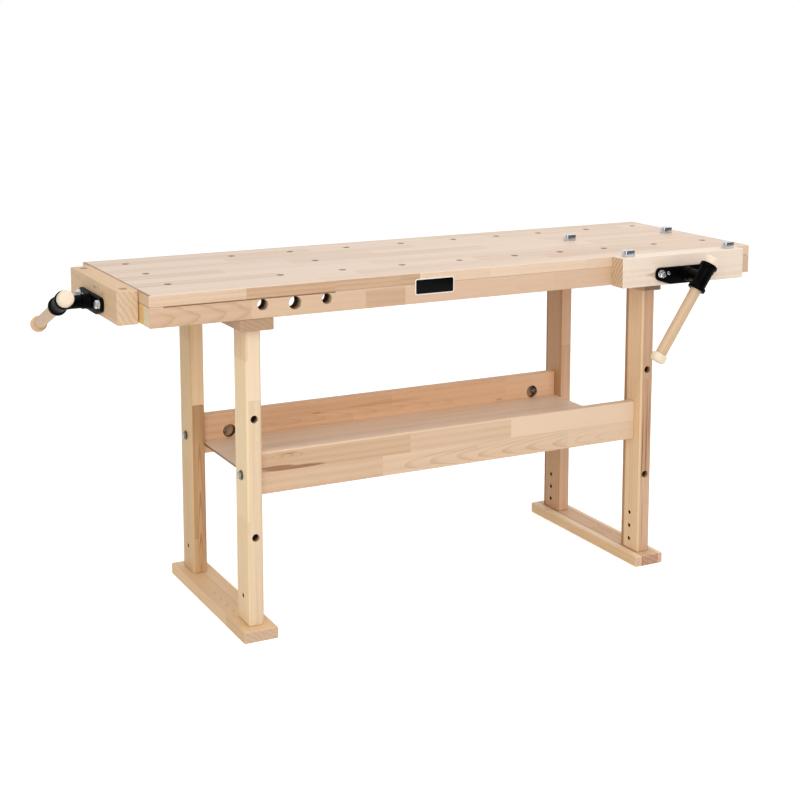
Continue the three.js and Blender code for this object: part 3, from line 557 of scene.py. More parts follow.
dull_zinc = zinc("zinc_plated_steel_dull", "#b4b6b4", 0.38)
# The washers get a darker zinc, painted shade for the dark rings round the bolt heads.
washer_shade_zinc = zinc("zinc_plated_steel_washer_shade", "#6b675c", 0.45)
bolt_thread = 0.0100
bolt_flats = 0.0160
washer_ease = 0.0004
for side, inward in (("left", 1.0), ("right", -1.0)):
    for end in ("front", "rear"):
        bolt_low, bolt_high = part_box(f"{side}_{end}_stretcher_bolt")
        middle = (bolt_low + bolt_high) / 2
        head_face = bolt_low.x if inward > 0 else bolt_high.x
        # Each set runs along local Z from the face of the bolt's head into the stretcher.
        set_place = Matrix.Translation((head_face, middle.y, middle.z)) @ Matrix.Rotation(inward * math.pi / 2, 4, "Y")
        washer_low, washer_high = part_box(f"{side}_{end}_washer")
        nut_low, nut_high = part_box(f"{side}_{end}_stretcher_nut")
        washer_start, washer_end = sorted(abs(x - head_face) for x in (washer_low.x, washer_high.x))
        nut_start, nut_end = sorted(abs(x - head_face) for x in (nut_low.x, nut_high.x))
        bolt_end = bolt_high.x - bolt_low.x
        mesh = bmesh.new()
        hexagon_nut(mesh, bolt_flats, 0.0, washer_start - washer_ease, 0.0)
        skin(
            mesh,
            [
                circle(bolt_thread / 2, washer_start - 2 * washer_ease),
                circle(bolt_thread / 2, bolt_end - 0.001),
                circle(bolt_thread / 2 - 0.001, bolt_end),
            ],
        )
        set_piece(
            f"{side}_{end}_bolt", mesh, set_place, dull_zinc, "frame", "zinc_steel", f"{side}_{end}_stretcher_bolt"
        )
        mesh = bmesh.new()
        washer_radius = (washer_high.z - washer_low.z) / 2
        hole_radius = bolt_thread / 2 + 0.0005
        skin(
            mesh,
            [
                circle(hole_radius, washer_end),
                circle(washer_radius, washer_end),
                circle(washer_radius, washer_start + washer_ease),
                circle(washer_radius - washer_ease, washer_start),
                circle(hole_radius, washer_start),
            ],
            closed=True,
        )
        set_piece(
            f"{side}_{end}_bolt_washer", mesh, set_place, washer_shade_zinc, "frame", "zinc_steel", f"{side}_{end}_washer"
        )
        mesh = bmesh.new()
        hexagon_nut(mesh, bolt_flats, nut_start, nut_end, bolt_thread + 0.0008)
        set_piece(
            f"{side}_{end}_bolt_nut", mesh, set_place, dull_zinc, "frame", "zinc_steel", f"{side}_{end}_stretcher_nut"
        )

# Top. A slab of edge-glued beech strips, finger-jointed end to end and sanded, is bored with rows of dog holes. Its
# strips differ a little in tone, and the front strip shows its joints along the edge of the bench. Its eased front
# arris is painted paler as a highlight, and a narrow band next to the end vise is painted dark as the shadow line of
# the joint with the jaw. Along the back the last strip is darker. Streaks are drawn four times as wide as they are, so
# that they show.
strips = [
    (0.6, [(0, 0.44), (229, 0.68), (456, 0.70), (629, 0.74), (683, 0.27), (881, 0.20), (1164, 0.30), (1480, 0.20)]),
    # The eased front arris, painted paler as a highlight.
    (1.8, [(0, 0.10), (229, 0.30), (683, 0.12)]),
    # Each strip starts with 3.6 mm of painted shade next to the end vise.
    (52, [(0, 0.97), (3.6, 0.30), (430, 0.36), (990, 0.31), (1400, 0.40)]),
    (108, [(0, 0.97), (3.6, 0.26), (550, 0.42), (1090, 0.50), (1460, 0.40)]),
    (163, [(0, 0.97), (3.6, 0.48), (370, 0.26), (910, 0.47), (1410, 0.42)]),
    (216, [(0, 0.97), (3.6, 0.24), (640, 0.38), (1180, 0.40), (1630, 0.42)]),
    (271, [(0, 0.97), (3.6, 0.44), (260, 0.31), (780, 0.22), (1340, 0.41)]),
    (326, [(0, 0.97), (3.6, 0.28), (460, 0.42), (1030, 0.31), (1500, 0.28)]),
    (380, [(0, 0.97), (3.6, 0.41), (720, 0.25), (1250, 0.43)]),
    (435, [(0, 0.97), (3.6, 0.27), (330, 0.43), (870, 0.31), (1420, 0.38)]),
    (489, [(0, 0.97), (3.6, 0.45), (590, 0.29), (1140, 0.41), (1590, 0.28)]),
    (531, [(0, 0.97), (3.6, 0.33), (410, 0.25), (960, 0.39), (1370, 0.42)]),
    (540, [(0, 0.62)]),
]
dress(
    "bench_top",
    planed_beech(
        "bench_top",
        "X",
        "Y",
        "#e5ccb6",
        strips,
        # The sawn ends' colour is lifted as painted light, for their shade at the end vise.
        "#e7c49f",
        flank="#e5c8ac",
        streaks=0.42,
        grain=10.0,
        bore_shade_depths=(0.3, 3.0),
        roughness=0.46,
    ),
)

# Aprons. A deep strip of beech is glued under each long edge of the slab, finger-jointed from short lengths that differ
# in tone. The front one is bored for hand tools and for the rods and screw of the front vise. Along its upper arris a
# pale band is painted as a highlight, and along the left part of the joint with the slab a dark band is painted as the
# shadow of a groove.
front_lengths = [
    (0, 0.39),
    (241, 0.22),
    (537, 0.48),
    (642, 0.12),
    (951, 0.13),
    (1064, 0.20),
    (1134, 0.15),
    (1290, 0.04),
    # The last length, beside the front vise jaw, is set palest, painted light against the jaw's shade there.
    (1590, 0.0),
]
dress(
    "front_apron",
    planed_beech(
        "front_apron",
        "X",
        "Z",
        "#d6b495",
        # The top row is a painted highlight on the arris, with a painted groove shadow from 28 to 457 mm.
        [(45.2, front_lengths), (48, [(0, 0.0), (28, 1.15), (457, 0.0)])],
        "#ecd6b5",
        arches=[(234, 20, 24, 42, -236, 60, 0.2), (960, 16, 20, 120, 300, 70, 0.08)],
        bore_shade_depths=(0.5, 24.0),
        see_through=True,
    ),
)
dress(
    "rear_apron",
    planed_beech(
        "rear_apron",
        "X",
        "Z",
        "#d9b692",
        [(48, [(0, 0.45), (430, 0.38), (820, 0.50), (1160, 0.41), (1540, 0.47)])],
        "#c7a180",
    ),
)

# End rail. A cross piece of beech between the aprons closes the left end of the bench and is the fixed jaw of the
# end vise, so its face is bored for the rods and the screw.
dress(
    "end_rail",
    planed_beech("end_rail", "Y", "Z", "#e9bf7b", [(48, [(0, 0.38), (260, 0.42)])], "#c7a180"),
)

# Top screws. Countersunk wood screws, zinc plated, run up through the ends of each rail into the aprons.
for side in ("left", "right"):
    for end in ("front", "rear"):
        dress(f"{side}_{end}_top_screw", dull_zinc)

# Plate. A thin bare plate, enamelled black with a white rim, is pinned to the front edge of the top.


def rounded_outline(corners, radius, inset, height, steps=7):
    """A ring of points round a convex outline, listed anticlockwise, with round corners, drawn in by an inset."""
    points = []
    for i, here in enumerate(corners):
        before, after = corners[i - 1], corners[(i + 1) % len(corners)]
        arriving = Vector((here[0] - before[0], here[1] - before[1])).normalized()
        leaving = Vector((after[0] - here[0], after[1] - here[1])).normalized()
        first = Vector((-arriving.y, arriving.x))
        second = Vector((-leaving.y, leaving.x))
        between = (first + second).normalized()
        centre = Vector(here) + between * (radius / between.dot(first))
        start = math.atan2(-first.y, -first.x)
        sweep = (math.atan2(-second.y, -second.x) - start) % (2 * math.pi)
        for step in range(steps + 1):
            turn = start + sweep * step / steps
            reach = radius - inset
            points.append(Vector((centre.x + reach * math.cos(turn), centre.y + reach * math.sin(turn), height)))
    return points


def plate(mesh, corners, radius, back, front, ease):
    """A flat plate from back to front with round corners and an eased front edge."""
    skin(
        mesh,
        [
            rounded_outline(corners, radius, 0.0, back),
            rounded_outline(corners, radius, 0.0, front - ease),
            rounded_outline(corners, radius, 0.3 * ease, front - 0.3 * ease),
            rounded_outline(corners, radius, ease, front),
        ],
    )


def oblong(length, height):
    """The corners of a rectangle about the origin."""
    x, y = length / 2, height / 2
    return [(-x, -y), (x, -y), (x, y), (-x, y)]


def enamel(name, colour):
    """Stoved enamel: one even colour with a soft gloss and the faint orange peel of a thick coat."""
    material, tree = new_tree(name)
    place = add(tree, "TexCoord", {})
    # Orange peel of about 3 mm.
    peel = add(tree, "TexNoise", {"Vector": place.outputs["Object"], "Scale": 1 / 0.003, "Detail": 2.0})
    bump = add(tree, "Bump", {"Strength": 0.08, "Distance": 0.0002, "Height": peel.outputs[0]})
    darker = [c * 0.9 for c in linear(colour)[:3]] + [1.0]
    tint = add(tree, "Mix", {0: peel.outputs[0], 6: darker, 7: linear(colour)}, data_type="RGBA")
    gloss = add(tree, "MapRange", {0: peel.outputs[0], 3: 0.34, 4: 0.46})
    shader = add(
        tree,
        "BsdfPrincipled",
        {
            "Base Color": tint.outputs[2],
            "Roughness": gloss.outputs[0],
            "IOR": 1.5,
            "Specular IOR Level": 0.08,
            "Normal": bump.outputs[0],
        },
    )
    add(tree, "OutputMaterial", {"Surface": shader.outputs[0]})
    return material


top_low, top_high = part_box("bench_top")
plate_length = 0.1085
plate_height = 0.0402
plate_corner = 0.0065
plate_rim = 0.0026
plate_from_end = 0.7244
plate_below_top = 0.0342
upright = Matrix.Rotation(math.pi / 2, 4, "X")
plate_place = Matrix.Translation((top_low.x + plate_from_end, top_low.y, top_high.z - plate_below_top)) @ upright
mesh = bmesh.new()
plate(mesh, oblong(plate_length, plate_height), plate_corner, 0.0, 0.0008, 0.0003)
set_piece("plate_rim", mesh, plate_place, enamel("white_enamel_rim", "#fbf4ec"), "frame", "zinc_steel")
mesh = bmesh.new()
inside = oblong(plate_length - 2 * plate_rim, plate_height - 2 * plate_rim)
plate(mesh, inside, plate_corner - plate_rim, 0.0003, 0.0011, 0.0002)
set_piece("plate_face", mesh, plate_place, enamel("black_enamel_bare", "#040405"), "frame", "cast_iron")

# Guide bodies. Under the top, behind the end rail and the front apron, a casting with a sleeve for each rod and one
# for the screw carries each vise. It is cast iron under black paint.


def painted_iron(name):
    """Sand-cast iron under black paint: a half-gloss black that keeps the soft grain of the sand."""
    material, tree = new_tree(name)
    place = add(tree, "TexCoord", {})
    # Sand grain of 0.9 mm and slow waves of 14 mm left by the mould.
    sand = add(tree, "TexNoise", {"Vector": place.outputs["Object"], "Scale": 1 / 0.0009, "Detail": 3.0})
    wave = add(tree, "TexNoise", {"Vector": place.outputs["Object"], "Scale": 1 / 0.014, "Detail": 2.0})
    height = add(tree, "Math", {0: wave.outputs[0], 1: 2.0, 2: sand.outputs[0]}, operation="MULTIPLY_ADD")
    bump = add(tree, "Bump", {"Strength": 0.2, "Distance": 0.0003, "Height": height.outputs[0]})
    colour = add(
        tree,
        "Mix",
        {0: wave.outputs[0], 6: linear("#020203"), 7: linear("#070708")},
        data_type="RGBA",
    )
    gloss = add(tree, "MapRange", {0: sand.outputs[0], 1: 0.3, 2: 0.7, 3: 0.34, 4: 0.5})
    shader = add(
        tree,
        "BsdfPrincipled",
        {
            "Base Color": colour.outputs[2],
            "Roughness": gloss.outputs[0],
            "IOR": 1.5,
            "Specular IOR Level": 0.03,
            "Normal": bump.outputs[0],
        },
    )
    add(tree, "OutputMaterial", {"Surface": shader.outputs[0]})
    return material


def reach(node, origin, direction):
    """How far a CAD node reaches from an origin in a direction along an axis of the frame."""
    return max((corner - origin).dot(direction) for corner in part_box(node))


def centre_of(node, vise):
    """Where the axis of a round CAD node lies in its vise's frame: across the jaw and above the screw."""
    low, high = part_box(node)
    away = (low + high) / 2 - vise["origin"]
    return away.dot(vise["side"]), away.dot(up)


black_iron = painted_iron("cast_iron_black_paint")
up = Vector((0.0, 0.0, 1.0))
vises = []
for word in ("end", "face"):
    turn = joints[f"{word}_screw_turn"]
    out = Vector(turn["axis"])
    origin = Vector(turn["pos_m"])
    side = up.cross(out)
    # The vise's own frame: X across the jaw, Y up, Z out of the bench, from the screw at the face of the bench.
    turned = Matrix((side, up, out)).transposed().to_4x4()
    vises.append(
        {
            "word": word,
            "name": f"{word}_vise",
            "origin": origin,
            "out": out,
            "side": side,
            "place": Matrix.Translation(origin) @ turned,
            "handle": Vector(joints[f"{word}_handle_slide"]["axis"]),
        }
    )
rod_radius = 0.009
screw_radius = 0.012
slide_play = 0.0005
for vise in vises:
    name = f"{vise['name']}_guide_body"
    near = reach(name, vise["origin"], vise["out"])
    far = -reach(name, vise["origin"], -vise["out"])
    half_length = reach(name, vise["origin"], vise["side"])
    rods = [centre_of(f"{vise['name']}_rod_{which}", vise) for which in ("left", "right")]
    mesh = bmesh.new()
    plate(mesh, oblong(2 * half_length, 0.040), 0.010, near - 0.010, near, 0.0008)
    for x, y, bore, sleeve in [(x, y, rod_radius, 0.015) for x, y in rods] + [(0.0, 0.0, screw_radius, 0.018)]:
        inner = bore + slide_play
        rings = [
            circle(inner, near - 0.0005),
            circle(sleeve, near - 0.0005),
            circle(sleeve, far + 0.0015),
            circle(sleeve - 0.0015, far),
            circle(inner, far),
        ]
        skin(mesh, [[Vector((p.x + x, p.y + y, p.z)) for p in ring] for ring in rings], closed=True)
    set_piece(f"{vise['name']}_casting", mesh, vise["place"], black_iron, "frame", "cast_iron", name)

# Vise jaws. Each moving jaw is a thick block of pale beech glued up from two lamellae, planed and eased, with a dog
# hole near each end. Its sawn ends show the growth rings.
dress(
    "end_vise_jaw",
    planed_beech(
        "end_vise_jaw",
        "Y",
        "Z",
        "#e1bc92",
        [(37, [(0, 0.38), (250, 0.34)]), (79, [(0, 0.33), (300, 0.37)])],
        "#dbbfa0",
        stains=[(178, 64, 14, 6, 0.5), (112, 60, 6, 8, 0.5), (150, 67, 5, 5, 0.45)],
        end_rings=0.22,
        bore_shade_depths=(0.3, 7.0),
    ),
)
dress(
    "face_vise_jaw",
    planed_beech(
        "face_vise_jaw",
        "X",
        "Z",
        "#f4e0cd",
        [(46, [(0, 0.41), (88, 0.36)]), (79, [(0, 0.29), (88, 0.33)])],
        "#d8bb98",
        stains=[(104, 27, 40, 9, 0.36), (150, 22, 70, 5, 0.24)],
        end_rings=0.5,
        bore_shade_depths=(0.3, 2.5),
    ),
)

# Guide rods and rod nuts. Two bright drawn steel bars keep each jaw square. Each ends in a threaded stud that holds
# the flange under a flanged hexagon nut, which is zinc plated and shiny.


def drawn_steel(name):
    """Bright drawn steel: a clean mid-grey metal with fine lines along the bar."""
    material, tree = new_tree(name)
    place = add(tree, "TexCoord", {})
    # Die lines 0.6 mm wide and 80 mm long.
    lines = add(
        tree,
        "VectorMath",
        {0: place.outputs["Object"], 1: (1 / 0.0006, 1 / 0.0006, 1 / 0.08)},
        operation="MULTIPLY",
    )
    marks = add(tree, "TexNoise", {"Vector": lines.outputs[0], "Scale": 1.0, "Detail": 2.0})
    colour = add(
        tree,
        "Mix",
        {0: marks.outputs[0], 6: linear("#7d8084"), 7: linear("#a3a6aa")},
        data_type="RGBA",
    )
    gloss = add(tree, "MapRange", {0: marks.outputs[0], 3: 0.24, 4: 0.38})
    shader = add(
        tree,
        "BsdfPrincipled",
        {"Base Color": colour.outputs[2], "Metallic": 1.0, "Roughness": gloss.outputs[0]},
    )
    add(tree, "OutputMaterial", {"Surface": shader.outputs[0]})
    return material


bright_steel = drawn_steel("bright_drawn_steel")
shiny_zinc = zinc("zinc_plated_steel_shiny", "#e6e9ee", 0.2)
stud_radius = 0.005
nut_flats = 0.017
nut_rim = 0.0015
for vise in vises:
    for which in ("left", "right"):
        rod = f"{vise['name']}_rod_{which}"
        nut = f"{vise['name']}_rod_nut_{which}"
        x, y = centre_of(rod, vise)
        tip = reach(rod, vise["origin"], vise["out"])
        rear = -reach(rod, vise["origin"], -vise["out"])
        nut_face = -reach(nut, vise["origin"], -vise["out"])
        nut_end = reach(nut, vise["origin"], vise["out"])
        rim_radius = reach(nut, vise["origin"], vise["side"]) - x
        shoulder = reach(f"{vise['name']}_jaw", vise["origin"], vise["out"])
        place = vise["place"] @ Matrix.Translation((x, y, 0.0))
        mesh = bmesh.new()
        skin(
            mesh,
            [
                circle(rod_radius - 0.0012, rear),
                circle(rod_radius, rear + 0.0012),
                circle(rod_radius, shoulder),
                circle(stud_radius, shoulder),
                circle(stud_radius, tip - 0.001),
                circle(stud_radius - 0.001, tip),
            ],
        )
        set_piece(f"{vise['name']}_bar_{which}", mesh, place, bright_steel, f"{vise['word']}_jaw", "bright_steel", rod)
        mesh = bmesh.new()
        bore = stud_radius + slide_play
        skin(
            mesh,
            [
                circle(bore, nut_face, 60),
                circle(rim_radius, nut_face, 60),
                circle(rim_radius, nut_face + 0.6 * nut_rim, 60),
                circle(0.5 * nut_flats, nut_face + 1.3 * nut_rim, 60),
                circle(bore, nut_face + 1.3 * nut_rim, 60),
            ],
            closed=True,
        )
        hexagon_nut(mesh, nut_flats, nut_face + nut_rim, nut_end, 2 * bore)
        set_piece(f"{vise['name']}_stud_nut_{which}", mesh, place, shiny_zinc, f"{vise['word']}_jaw", "zinc_steel", nut)

# Vise flanges. A cast plate on the face of each jaw, its lower corners cut away, with a boss in the middle that the
# screw turns in. Besides the rod nuts a small socket screw near each nut holds it to the wood.
flange_thickness = 0.008
flange_ease = 0.0016
flange_corner = 0.0125
flange_cut_length = 0.045
flange_cut_height = 0.014
boss_radius = 0.018
boss_foot_radius = 0.020
neck_bore = 0.0095
small_screw_in = 0.023
small_screw_radius = 0.005
socket_radius = 0.0026
for vise in vises:
    name = f"{vise['name']}_flange"
    half_length = reach(name, vise["origin"], vise["side"])
    rise = reach(name, vise["origin"], up)
    drop = reach(name, vise["origin"], -up)
    back = -reach(name, vise["origin"], -vise["out"])
    boss_front = reach(name, vise["origin"], vise["out"])
    face = back + flange_thickness
    cut_from = half_length - flange_cut_length
    cut_to = drop - flange_cut_height
    corners = [
        (-cut_from, -drop),
        (cut_from, -drop),
        (half_length, -cut_to),
        (half_length, rise),
        (-half_length, rise),
        (-half_length, -cut_to),
    ]
    mesh = bmesh.new()
    plate(mesh, corners, flange_corner, back, face, flange_ease)
    # The boss stands on a bead and tapers a little.
    skin(
        mesh,
        [
            circle(neck_bore, back + 0.001),
            circle(boss_foot_radius - 0.0006, back + 0.001),
            circle(boss_foot_radius - 0.0006, face + 0.0004),
            circle(boss_foot_radius, face + 0.0012),
            circle(boss_foot_radius, face + 0.0024),
            circle(boss_foot_radius - 0.0008, face + 0.0036),
            circle(boss_radius + 0.0006, face + 0.0060),
            circle(boss_radius, boss_front - 0.001),
            circle(boss_radius - 0.001, boss_front),
            circle(neck_bore, boss_front),
        ],
        closed=True,
    )
    set_piece(f"{vise['name']}_plate", mesh, vise["place"], black_iron, f"{vise['word']}_jaw", "cast_iron", name)
    for which, inside_of in (("left", 1.0), ("right", -1.0)):
        x, y = centre_of(f"{vise['name']}_rod_{which}", vise)
        mesh = bmesh.new()
        skin(
            mesh,
            [
                circle(small_screw_radius, face - 0.0006, 36),
                circle(small_screw_radius, face + 0.0010, 36),
                circle(0.84 * small_screw_radius, face + 0.0022, 36),
                circle(1.12 * socket_radius, face + 0.0026, 36),
                circle(socket_radius, face + 0.0022, 36),
                circle(socket_radius, face - 0.0002, 36),
            ],
        )
        set_piece(
            f"{vise['name']}_small_screw_{which}",
            mesh,
            vise["place"] @ Matrix.Translation((x + inside_of * small_screw_in, y, 0.0)),
            shiny_zinc,
            f"{vise['word']}_jaw",
            "zinc_steel",
        )

# Vise screws. A steel screw with a coarse square thread, 6 mm a turn, draws each jaw. In front it has a plain neck
# that turns in the boss and is pinned in the handle head.
thread_pitch = 0.006
thread_depth = 0.002
thread_sides = 36
neck_radius = 0.009
for vise in vises:
    name = f"{vise['name']}_screw"
    rear = -reach(name, vise["origin"], -vise["out"])
    tip = reach(name, vise["origin"], vise["out"])
    shoulder = reach(f"{vise['name']}_jaw", vise["origin"], vise["out"])
    rings = [circle(screw_radius - thread_depth - 0.001, rear, thread_sides)]
    steps = round((shoulder - rear - 0.002) / (thread_pitch / 6))
    for step in range(steps + 1):
        height = rear + 0.001 + step * thread_pitch / 6
        ring = []
        for i in range(thread_sides):
            phase = (height / thread_pitch - i / thread_sides) % 1.0
            # Half a turn of crest, half of root, with short slopes between them.
            cut = min(max(6.0 * (abs(phase - 0.5) - 0.25) + 0.5, 0.0), 1.0)
            turn = 2 * math.pi * i / thread_sides
            radius = screw_radius - thread_depth * cut
            ring.append(Vector((radius * math.cos(turn), radius * math.sin(turn), height)))
        rings.append(ring)
    rings.append(circle(neck_radius, shoulder, thread_sides))
    rings.append(circle(neck_radius, tip, thread_sides))
    mesh = bmesh.new()
    skin(mesh, rings)
    set_piece(f"{vise['name']}_spindle", mesh, vise["place"], bright_steel, f"{vise['word']}_screw", "bright_steel", name)

# Handle heads. A cast hub with a collar at each end of its cross bore stands on a short flared stem, pinned to the
# neck of the screw. It is cast iron under the same black paint.
hub_half = 0.0375
hub_radius = 0.019
collar_radius = 0.023
collar_width = 0.0105
bar_radius = 0.0145
stem_radius = 0.016
for vise in vises:
    name = f"{vise['name']}_handle_head"
    bar_out = reach(name, vise["origin"], vise["out"]) - collar_radius
    stem_end = -reach(name, vise["origin"], -vise["out"])
    bar_at = vise["origin"] + vise["out"] * bar_out
    along = vise["handle"]
    # The handle's own frame: Z along the bar, X back to the bench, from the middle of the hub.
    turned = Matrix((-vise["out"], along.cross(-vise["out"]), along)).transposed().to_4x4()
    vise["bar_place"] = Matrix.Translation(bar_at) @ turned
    bore = bar_radius + slide_play
    mesh = bmesh.new()
    half_profile = [
        (bore + 0.0012, hub_half),
        (collar_radius - 0.0018, hub_half),
        (collar_radius - 0.0005, hub_half - 0.0006),
        (collar_radius, hub_half - 0.002),
        (collar_radius, hub_half - collar_width + 0.0015),
        (collar_radius - 0.0015, hub_half - collar_width),
        (hub_radius + 0.0012, hub_half - collar_width - 0.0004),
        (hub_radius, hub_half - collar_width - 0.0025),
    ]
    profile = half_profile + [(radius, -height) for radius, height in reversed(half_profile)]
    profile += [(bore, -hub_half + 0.0012), (bore, hub_half - 0.0012)]
    skin(mesh, [circle(radius, height, 72) for radius, height in profile], closed=True)
    # The stem starts as a saddle inside the wall of the hub and flares out of it.
    stem_length = bar_out - stem_end
    rings = []
    for radius, inside_wall, distance in (
        (stem_radius + 0.0022, hub_radius - 0.0020, None),
        (stem_radius + 0.0022, hub_radius + 0.0005, None),
        (stem_radius + 0.0007, hub_radius + 0.0025, None),
        (stem_radius, None, hub_radius + 0.0060),
        (stem_radius, None, stem_length - 0.0012),
        (stem_radius - 0.0012, None, stem_length),
    ):
        ring = []
        for p in circle(radius, 0.0, 64):
            back_to_bench = distance or math.sqrt(max(inside_wall**2 - p.x**2, 0.0))
            ring.append(Vector((back_to_bench, p.x, p.y)))
        rings.append(ring)
    skin(mesh, rings)
    set_piece(f"{vise['name']}_hub", mesh, vise["bar_place"], black_iron, f"{vise['word']}_screw", "cast_iron", name)

# Handle bars and caps. Each bar is a turned beech rod with fine brown flecks, and a pale turned cap is glued on each
# end so that the bar can't slide out of its head.


def turned_beech(name, colour, fleck_depth):
    """Turned and waxed beech: smooth and pale, with straight grain along the piece and short dark flecks."""
    material, tree = new_tree(name)
    place = add(tree, "TexCoord", {})
    # Grain 1.6 mm wide and 90 mm long, and flecks drawn at 1.2 by 6 mm, twice their size, so that they show.
    grain_size = add(
        tree,
        "VectorMath",
        {0: place.outputs["Object"], 1: (1 / 0.0016, 1 / 0.0016, 1 / 0.09)},
        operation="MULTIPLY",
    )
    grain = add(tree, "TexNoise", {"Vector": grain_size.outputs[0], "Scale": 1.0, "Detail": 3.0})
    fleck_size = add(
        tree,
        "VectorMath",
        {0: place.outputs["Object"], 1: (1 / 0.0012, 1 / 0.0012, 1 / 0.006)},
        operation="MULTIPLY",
    )
    fleck = add(tree, "TexNoise", {"Vector": fleck_size.outputs[0], "Scale": 1.0, "Detail": 1.0})
    flecks = add(tree, "MapRange", {0: fleck.outputs[0], 1: 0.63, 2: 0.72})
    depth = add(tree, "Math", {0: grain.outputs[0], 1: 0.4, 2: 0.15}, operation="MULTIPLY_ADD")
    depth = add(tree, "Math", {0: flecks.outputs[0], 1: fleck_depth, 2: depth.outputs[0]}, operation="MULTIPLY_ADD")
    shade = beech_ramp(tree, depth.outputs[0], colour)
    bump = add(tree, "Bump", {"Strength": 0.08, "Distance": 0.0002, "Height": grain.outputs[0]})
    gloss = add(tree, "MapRange", {0: grain.outputs[0], 3: 0.4, 4: 0.52})
    shader = add(
        tree,
        "BsdfPrincipled",
        {"Base Color": shade, "Roughness": gloss.outputs[0], "IOR": 1.5, "Normal": bump.outputs[0]},
    )
    add(tree, "OutputMaterial", {"Surface": shader.outputs[0]})
    return material


bar_beech = turned_beech("turned_beech_bar", "#d8b894", 0.34)
cap_beech = turned_beech("turned_beech_cap", "#f3e1c8", 0.06)
tan_cap_beech = turned_beech("turned_beech_tan_cap", "#dfbb90", 0.2)
bar_length = 0.267
cap_radius = 0.020
cap_length = 0.021
seat_gap = 0.0003
for vise in vises:
    body = f"{vise['word']}_handle"
    bar_top = hub_half
    bar_bottom = bar_top - bar_length
    mesh = bmesh.new()
    skin(
        mesh,
        [
            circle(bar_radius - 0.001, bar_bottom),
            circle(bar_radius, bar_bottom + 0.001),
            circle(bar_radius, bar_top - 0.001),
            circle(bar_radius - 0.001, bar_top),
        ],
    )
    set_piece(
        f"{vise['name']}_turned_bar",
        mesh,
        vise["bar_place"],
        bar_beech,
        body,
        "turned_beech",
        f"{vise['name']}_handle_bar",
    )
    for which, face, direction in (("upper", bar_top + seat_gap, 1.0), ("lower", bar_bottom - seat_gap, -1.0)):
        profile = [
            (cap_radius - 0.0016, 0.0),
            (cap_radius - 0.0003, 0.0006),
            (cap_radius, 0.0018),
            (cap_radius, cap_length - 0.0075),
            (cap_radius - 0.0008, cap_length - 0.0045),
            (cap_radius - 0.0026, cap_length - 0.0018),
            (cap_radius - 0.0050, cap_length - 0.0003),
            (cap_radius - 0.0072, cap_length),
        ]
        mesh = bmesh.new()
        skin(mesh, [circle(radius, face + direction * height) for radius, height in profile])
        set_piece(
            f"{vise['name']}_turned_cap_{which}",
            mesh,
            vise["bar_place"],
            tan_cap_beech if (vise["word"], which) == ("end", "lower") else cap_beech,
            body,
            "turned_beech",
            f"{vise['name']}_cap_{which}",
        )

# Bench dogs. Four steel stops, turned with a thick round head that has a flat for the work and a pin that drops into
# a dog hole. The flat is ground with a slight crown. Two stand in the top and two in the front jaw, zinc plated.
dog_flat = 0.012
dog_crown = 0.003
dog_ease = 0.0009
pin_radius = 0.0095
for dog in ("top_dog_left", "top_dog_right", "jaw_dog_left", "jaw_dog_right"):
    dog_low, dog_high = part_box(dog)
    head_radius = (dog_high.x - dog_low.x) / 2
    head_top = dog_high.z
    head_foot = head_top - 0.016
    place = Matrix.Translation(((dog_low.x + dog_high.x) / 2, dog_high.y - head_radius, 0.0))
    mesh = bmesh.new()
    skin(
        mesh,
        [
            circle(pin_radius - 0.0015, dog_low.z),
            circle(pin_radius, dog_low.z + 0.0015),
            circle(pin_radius, head_foot + 0.0002),
        ],
    )
    head = [
        (head_radius - 0.0006, head_foot),
        (head_radius, head_foot + 0.0006),
        (head_radius, head_top - dog_ease),
        (head_radius - 0.3 * dog_ease, head_top - 0.3 * dog_ease),
        (head_radius - dog_ease, head_top),
    ]
    rings = [circle(radius, height, 96) for radius, height in head]
    for ring, (radius, height) in zip(rings, head):
        for point in ring:
            crown = dog_crown * (point.x / head_radius) ** 2
            point.y = max(point.y, crown - dog_flat + (head_radius - radius))
    skin(mesh, rings)
    set_piece(f"{dog}_stop", mesh, place, shiny_zinc, dog, "zinc_steel", dog)

# The floor. A plain pale floor that keeps a soft shadow and runs out to white.
floor_material, tree = new_tree("plain_pale_floor")
seen = add(tree, "LightPath", {})
mirrored = add(
    tree,
    "Math",
    {0: seen.outputs["Is Glossy Ray"], 1: seen.outputs["Is Transmission Ray"]},
    operation="MAXIMUM",
)
straight = add(tree, "Math", {0: seen.outputs["Is Camera Ray"], 1: mirrored.outputs[0]}, operation="MAXIMUM")
matt = add(tree, "BsdfDiffuse", {"Color": linear("#f2f1ef")})
lift = add(tree, "Emission", {"Color": (1.0, 1.0, 1.0, 1.0), "Strength": 0.6})
raised = add(tree, "AddShader", {0: matt.outputs[0], 1: lift.outputs[0]})
shown = add(tree, "MixShader", {0: straight.outputs[0], 1: matt.outputs[0], 2: raised.outputs[0]})
add(tree, "OutputMaterial", {"Surface": shown.outputs[0]})
sheet = bmesh.new()
bmesh.ops.create_grid(sheet, x_segments=1, y_segments=1, size=30.0)
floor_mesh = bpy.data.meshes.new("floor")
sheet.to_mesh(floor_mesh)
sheet.free()
floor = bpy.data.objects.new("floor", floor_mesh)
floor.data.materials.append(floor_material)
bpy.context.scene.collection.objects.link(floor)

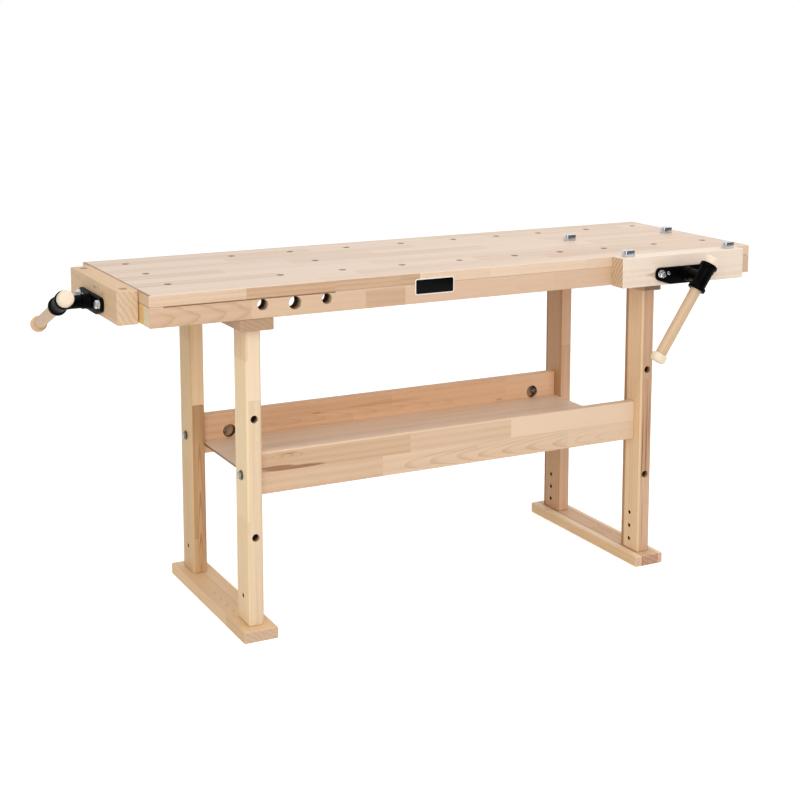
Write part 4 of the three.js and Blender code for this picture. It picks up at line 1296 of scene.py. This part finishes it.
# The light. A white room that is dim at both sides and dark past the right of the front, so that metal has something
# dark to mirror, with a large soft lamp high at the right and another low at the left front.
world = bpy.data.worlds.new("white_room")
bpy.context.scene.world = world
world.use_nodes = True
tree = world.node_tree
tree.nodes.clear()
seen = add(tree, "LightPath", {})
mirrored = add(
    tree,
    "Math",
    {0: seen.outputs["Is Glossy Ray"], 1: seen.outputs["Is Transmission Ray"]},
    operation="MAXIMUM",
)
direction = add(tree, "TexCoord", {})
aside = add(tree, "VectorMath", {0: direction.outputs["Generated"], 1: (0.46, -0.89, 0.0)}, operation="DOT_PRODUCT")
dim = add(
    tree,
    "MapRange",
    {0: aside.outputs["Value"], 1: 0.5, 2: 0.9, 3: 1.0, 4: 0.1},
    interpolation_type="SMOOTHSTEP",
)
rise = add(tree, "SeparateXYZ", {0: direction.outputs["Generated"]})
walls = add(tree, "MapRange", {0: rise.outputs["Z"], 1: 0.0, 2: 0.7, 3: 0.9, 4: 0.4})
sideways = add(tree, "Math", {0: rise.outputs["X"]}, operation="ABSOLUTE")
dusk = add(tree, "MapRange", {0: sideways.outputs[0], 1: 0.65, 2: 1.0, 3: 1.0, 4: 0.4})
dim = add(tree, "Math", {0: dim.outputs[0], 1: dusk.outputs[0]}, operation="MULTIPLY")
room = add(tree, "Background", {"Color": (1.0, 1.0, 1.0, 1.0), "Strength": walls.outputs[0]})
mirror = add(tree, "Background", {"Color": (1.0, 1.0, 1.0, 1.0), "Strength": dim.outputs[0]})
white = add(tree, "Background", {"Color": (1.0, 1.0, 1.0, 1.0), "Strength": 1.0})
shown = add(tree, "MixShader", {0: mirrored.outputs[0], 1: room.outputs[0], 2: mirror.outputs[0]})
shown = add(tree, "MixShader", {0: seen.outputs["Is Camera Ray"], 1: shown.outputs[0], 2: white.outputs[0]})
add(tree, "OutputWorld", {"Surface": shown.outputs[0]})


def lamp(name, place, size, power):
    """A square soft lamp that looks at the middle of the bench."""
    data = bpy.data.lights.new(name, "AREA")
    data.size = size
    data.energy = power
    made = bpy.data.objects.new(name, data)
    made.location = place
    made.rotation_euler = (Vector((0.0, 0.0, 0.5)) - Vector(place)).to_track_quat("-Z", "Y").to_euler()
    bpy.context.scene.collection.objects.link(made)


lamp("soft_key", (1.8, -0.4, 4.6), 2.8, 75.0)
lamp("soft_fill", (-2.0, -3.6, 2.7), 2.8, 80.0)

# The camera, at the photograph's viewing angle, worked out from the corners of the top, the feet and the legs.
eye = bpy.data.cameras.new("camera")
eye.sensor_width = 36.0
eye.lens = 36.0 * 1535.23 / 800.0
eye.shift_y = -0.2
eye.clip_end = 100.0
camera = bpy.data.objects.new("camera", eye)
camera.location = (top_low.x - 1.03777, top_low.y - 3.25244, 1.47840)
camera.rotation_euler = (math.pi / 2 - 0.145, 0.0, -0.4736)
bpy.context.scene.collection.objects.link(camera)
bpy.context.scene.camera = camera

bpy.context.scene.view_settings.view_transform = "Standard"
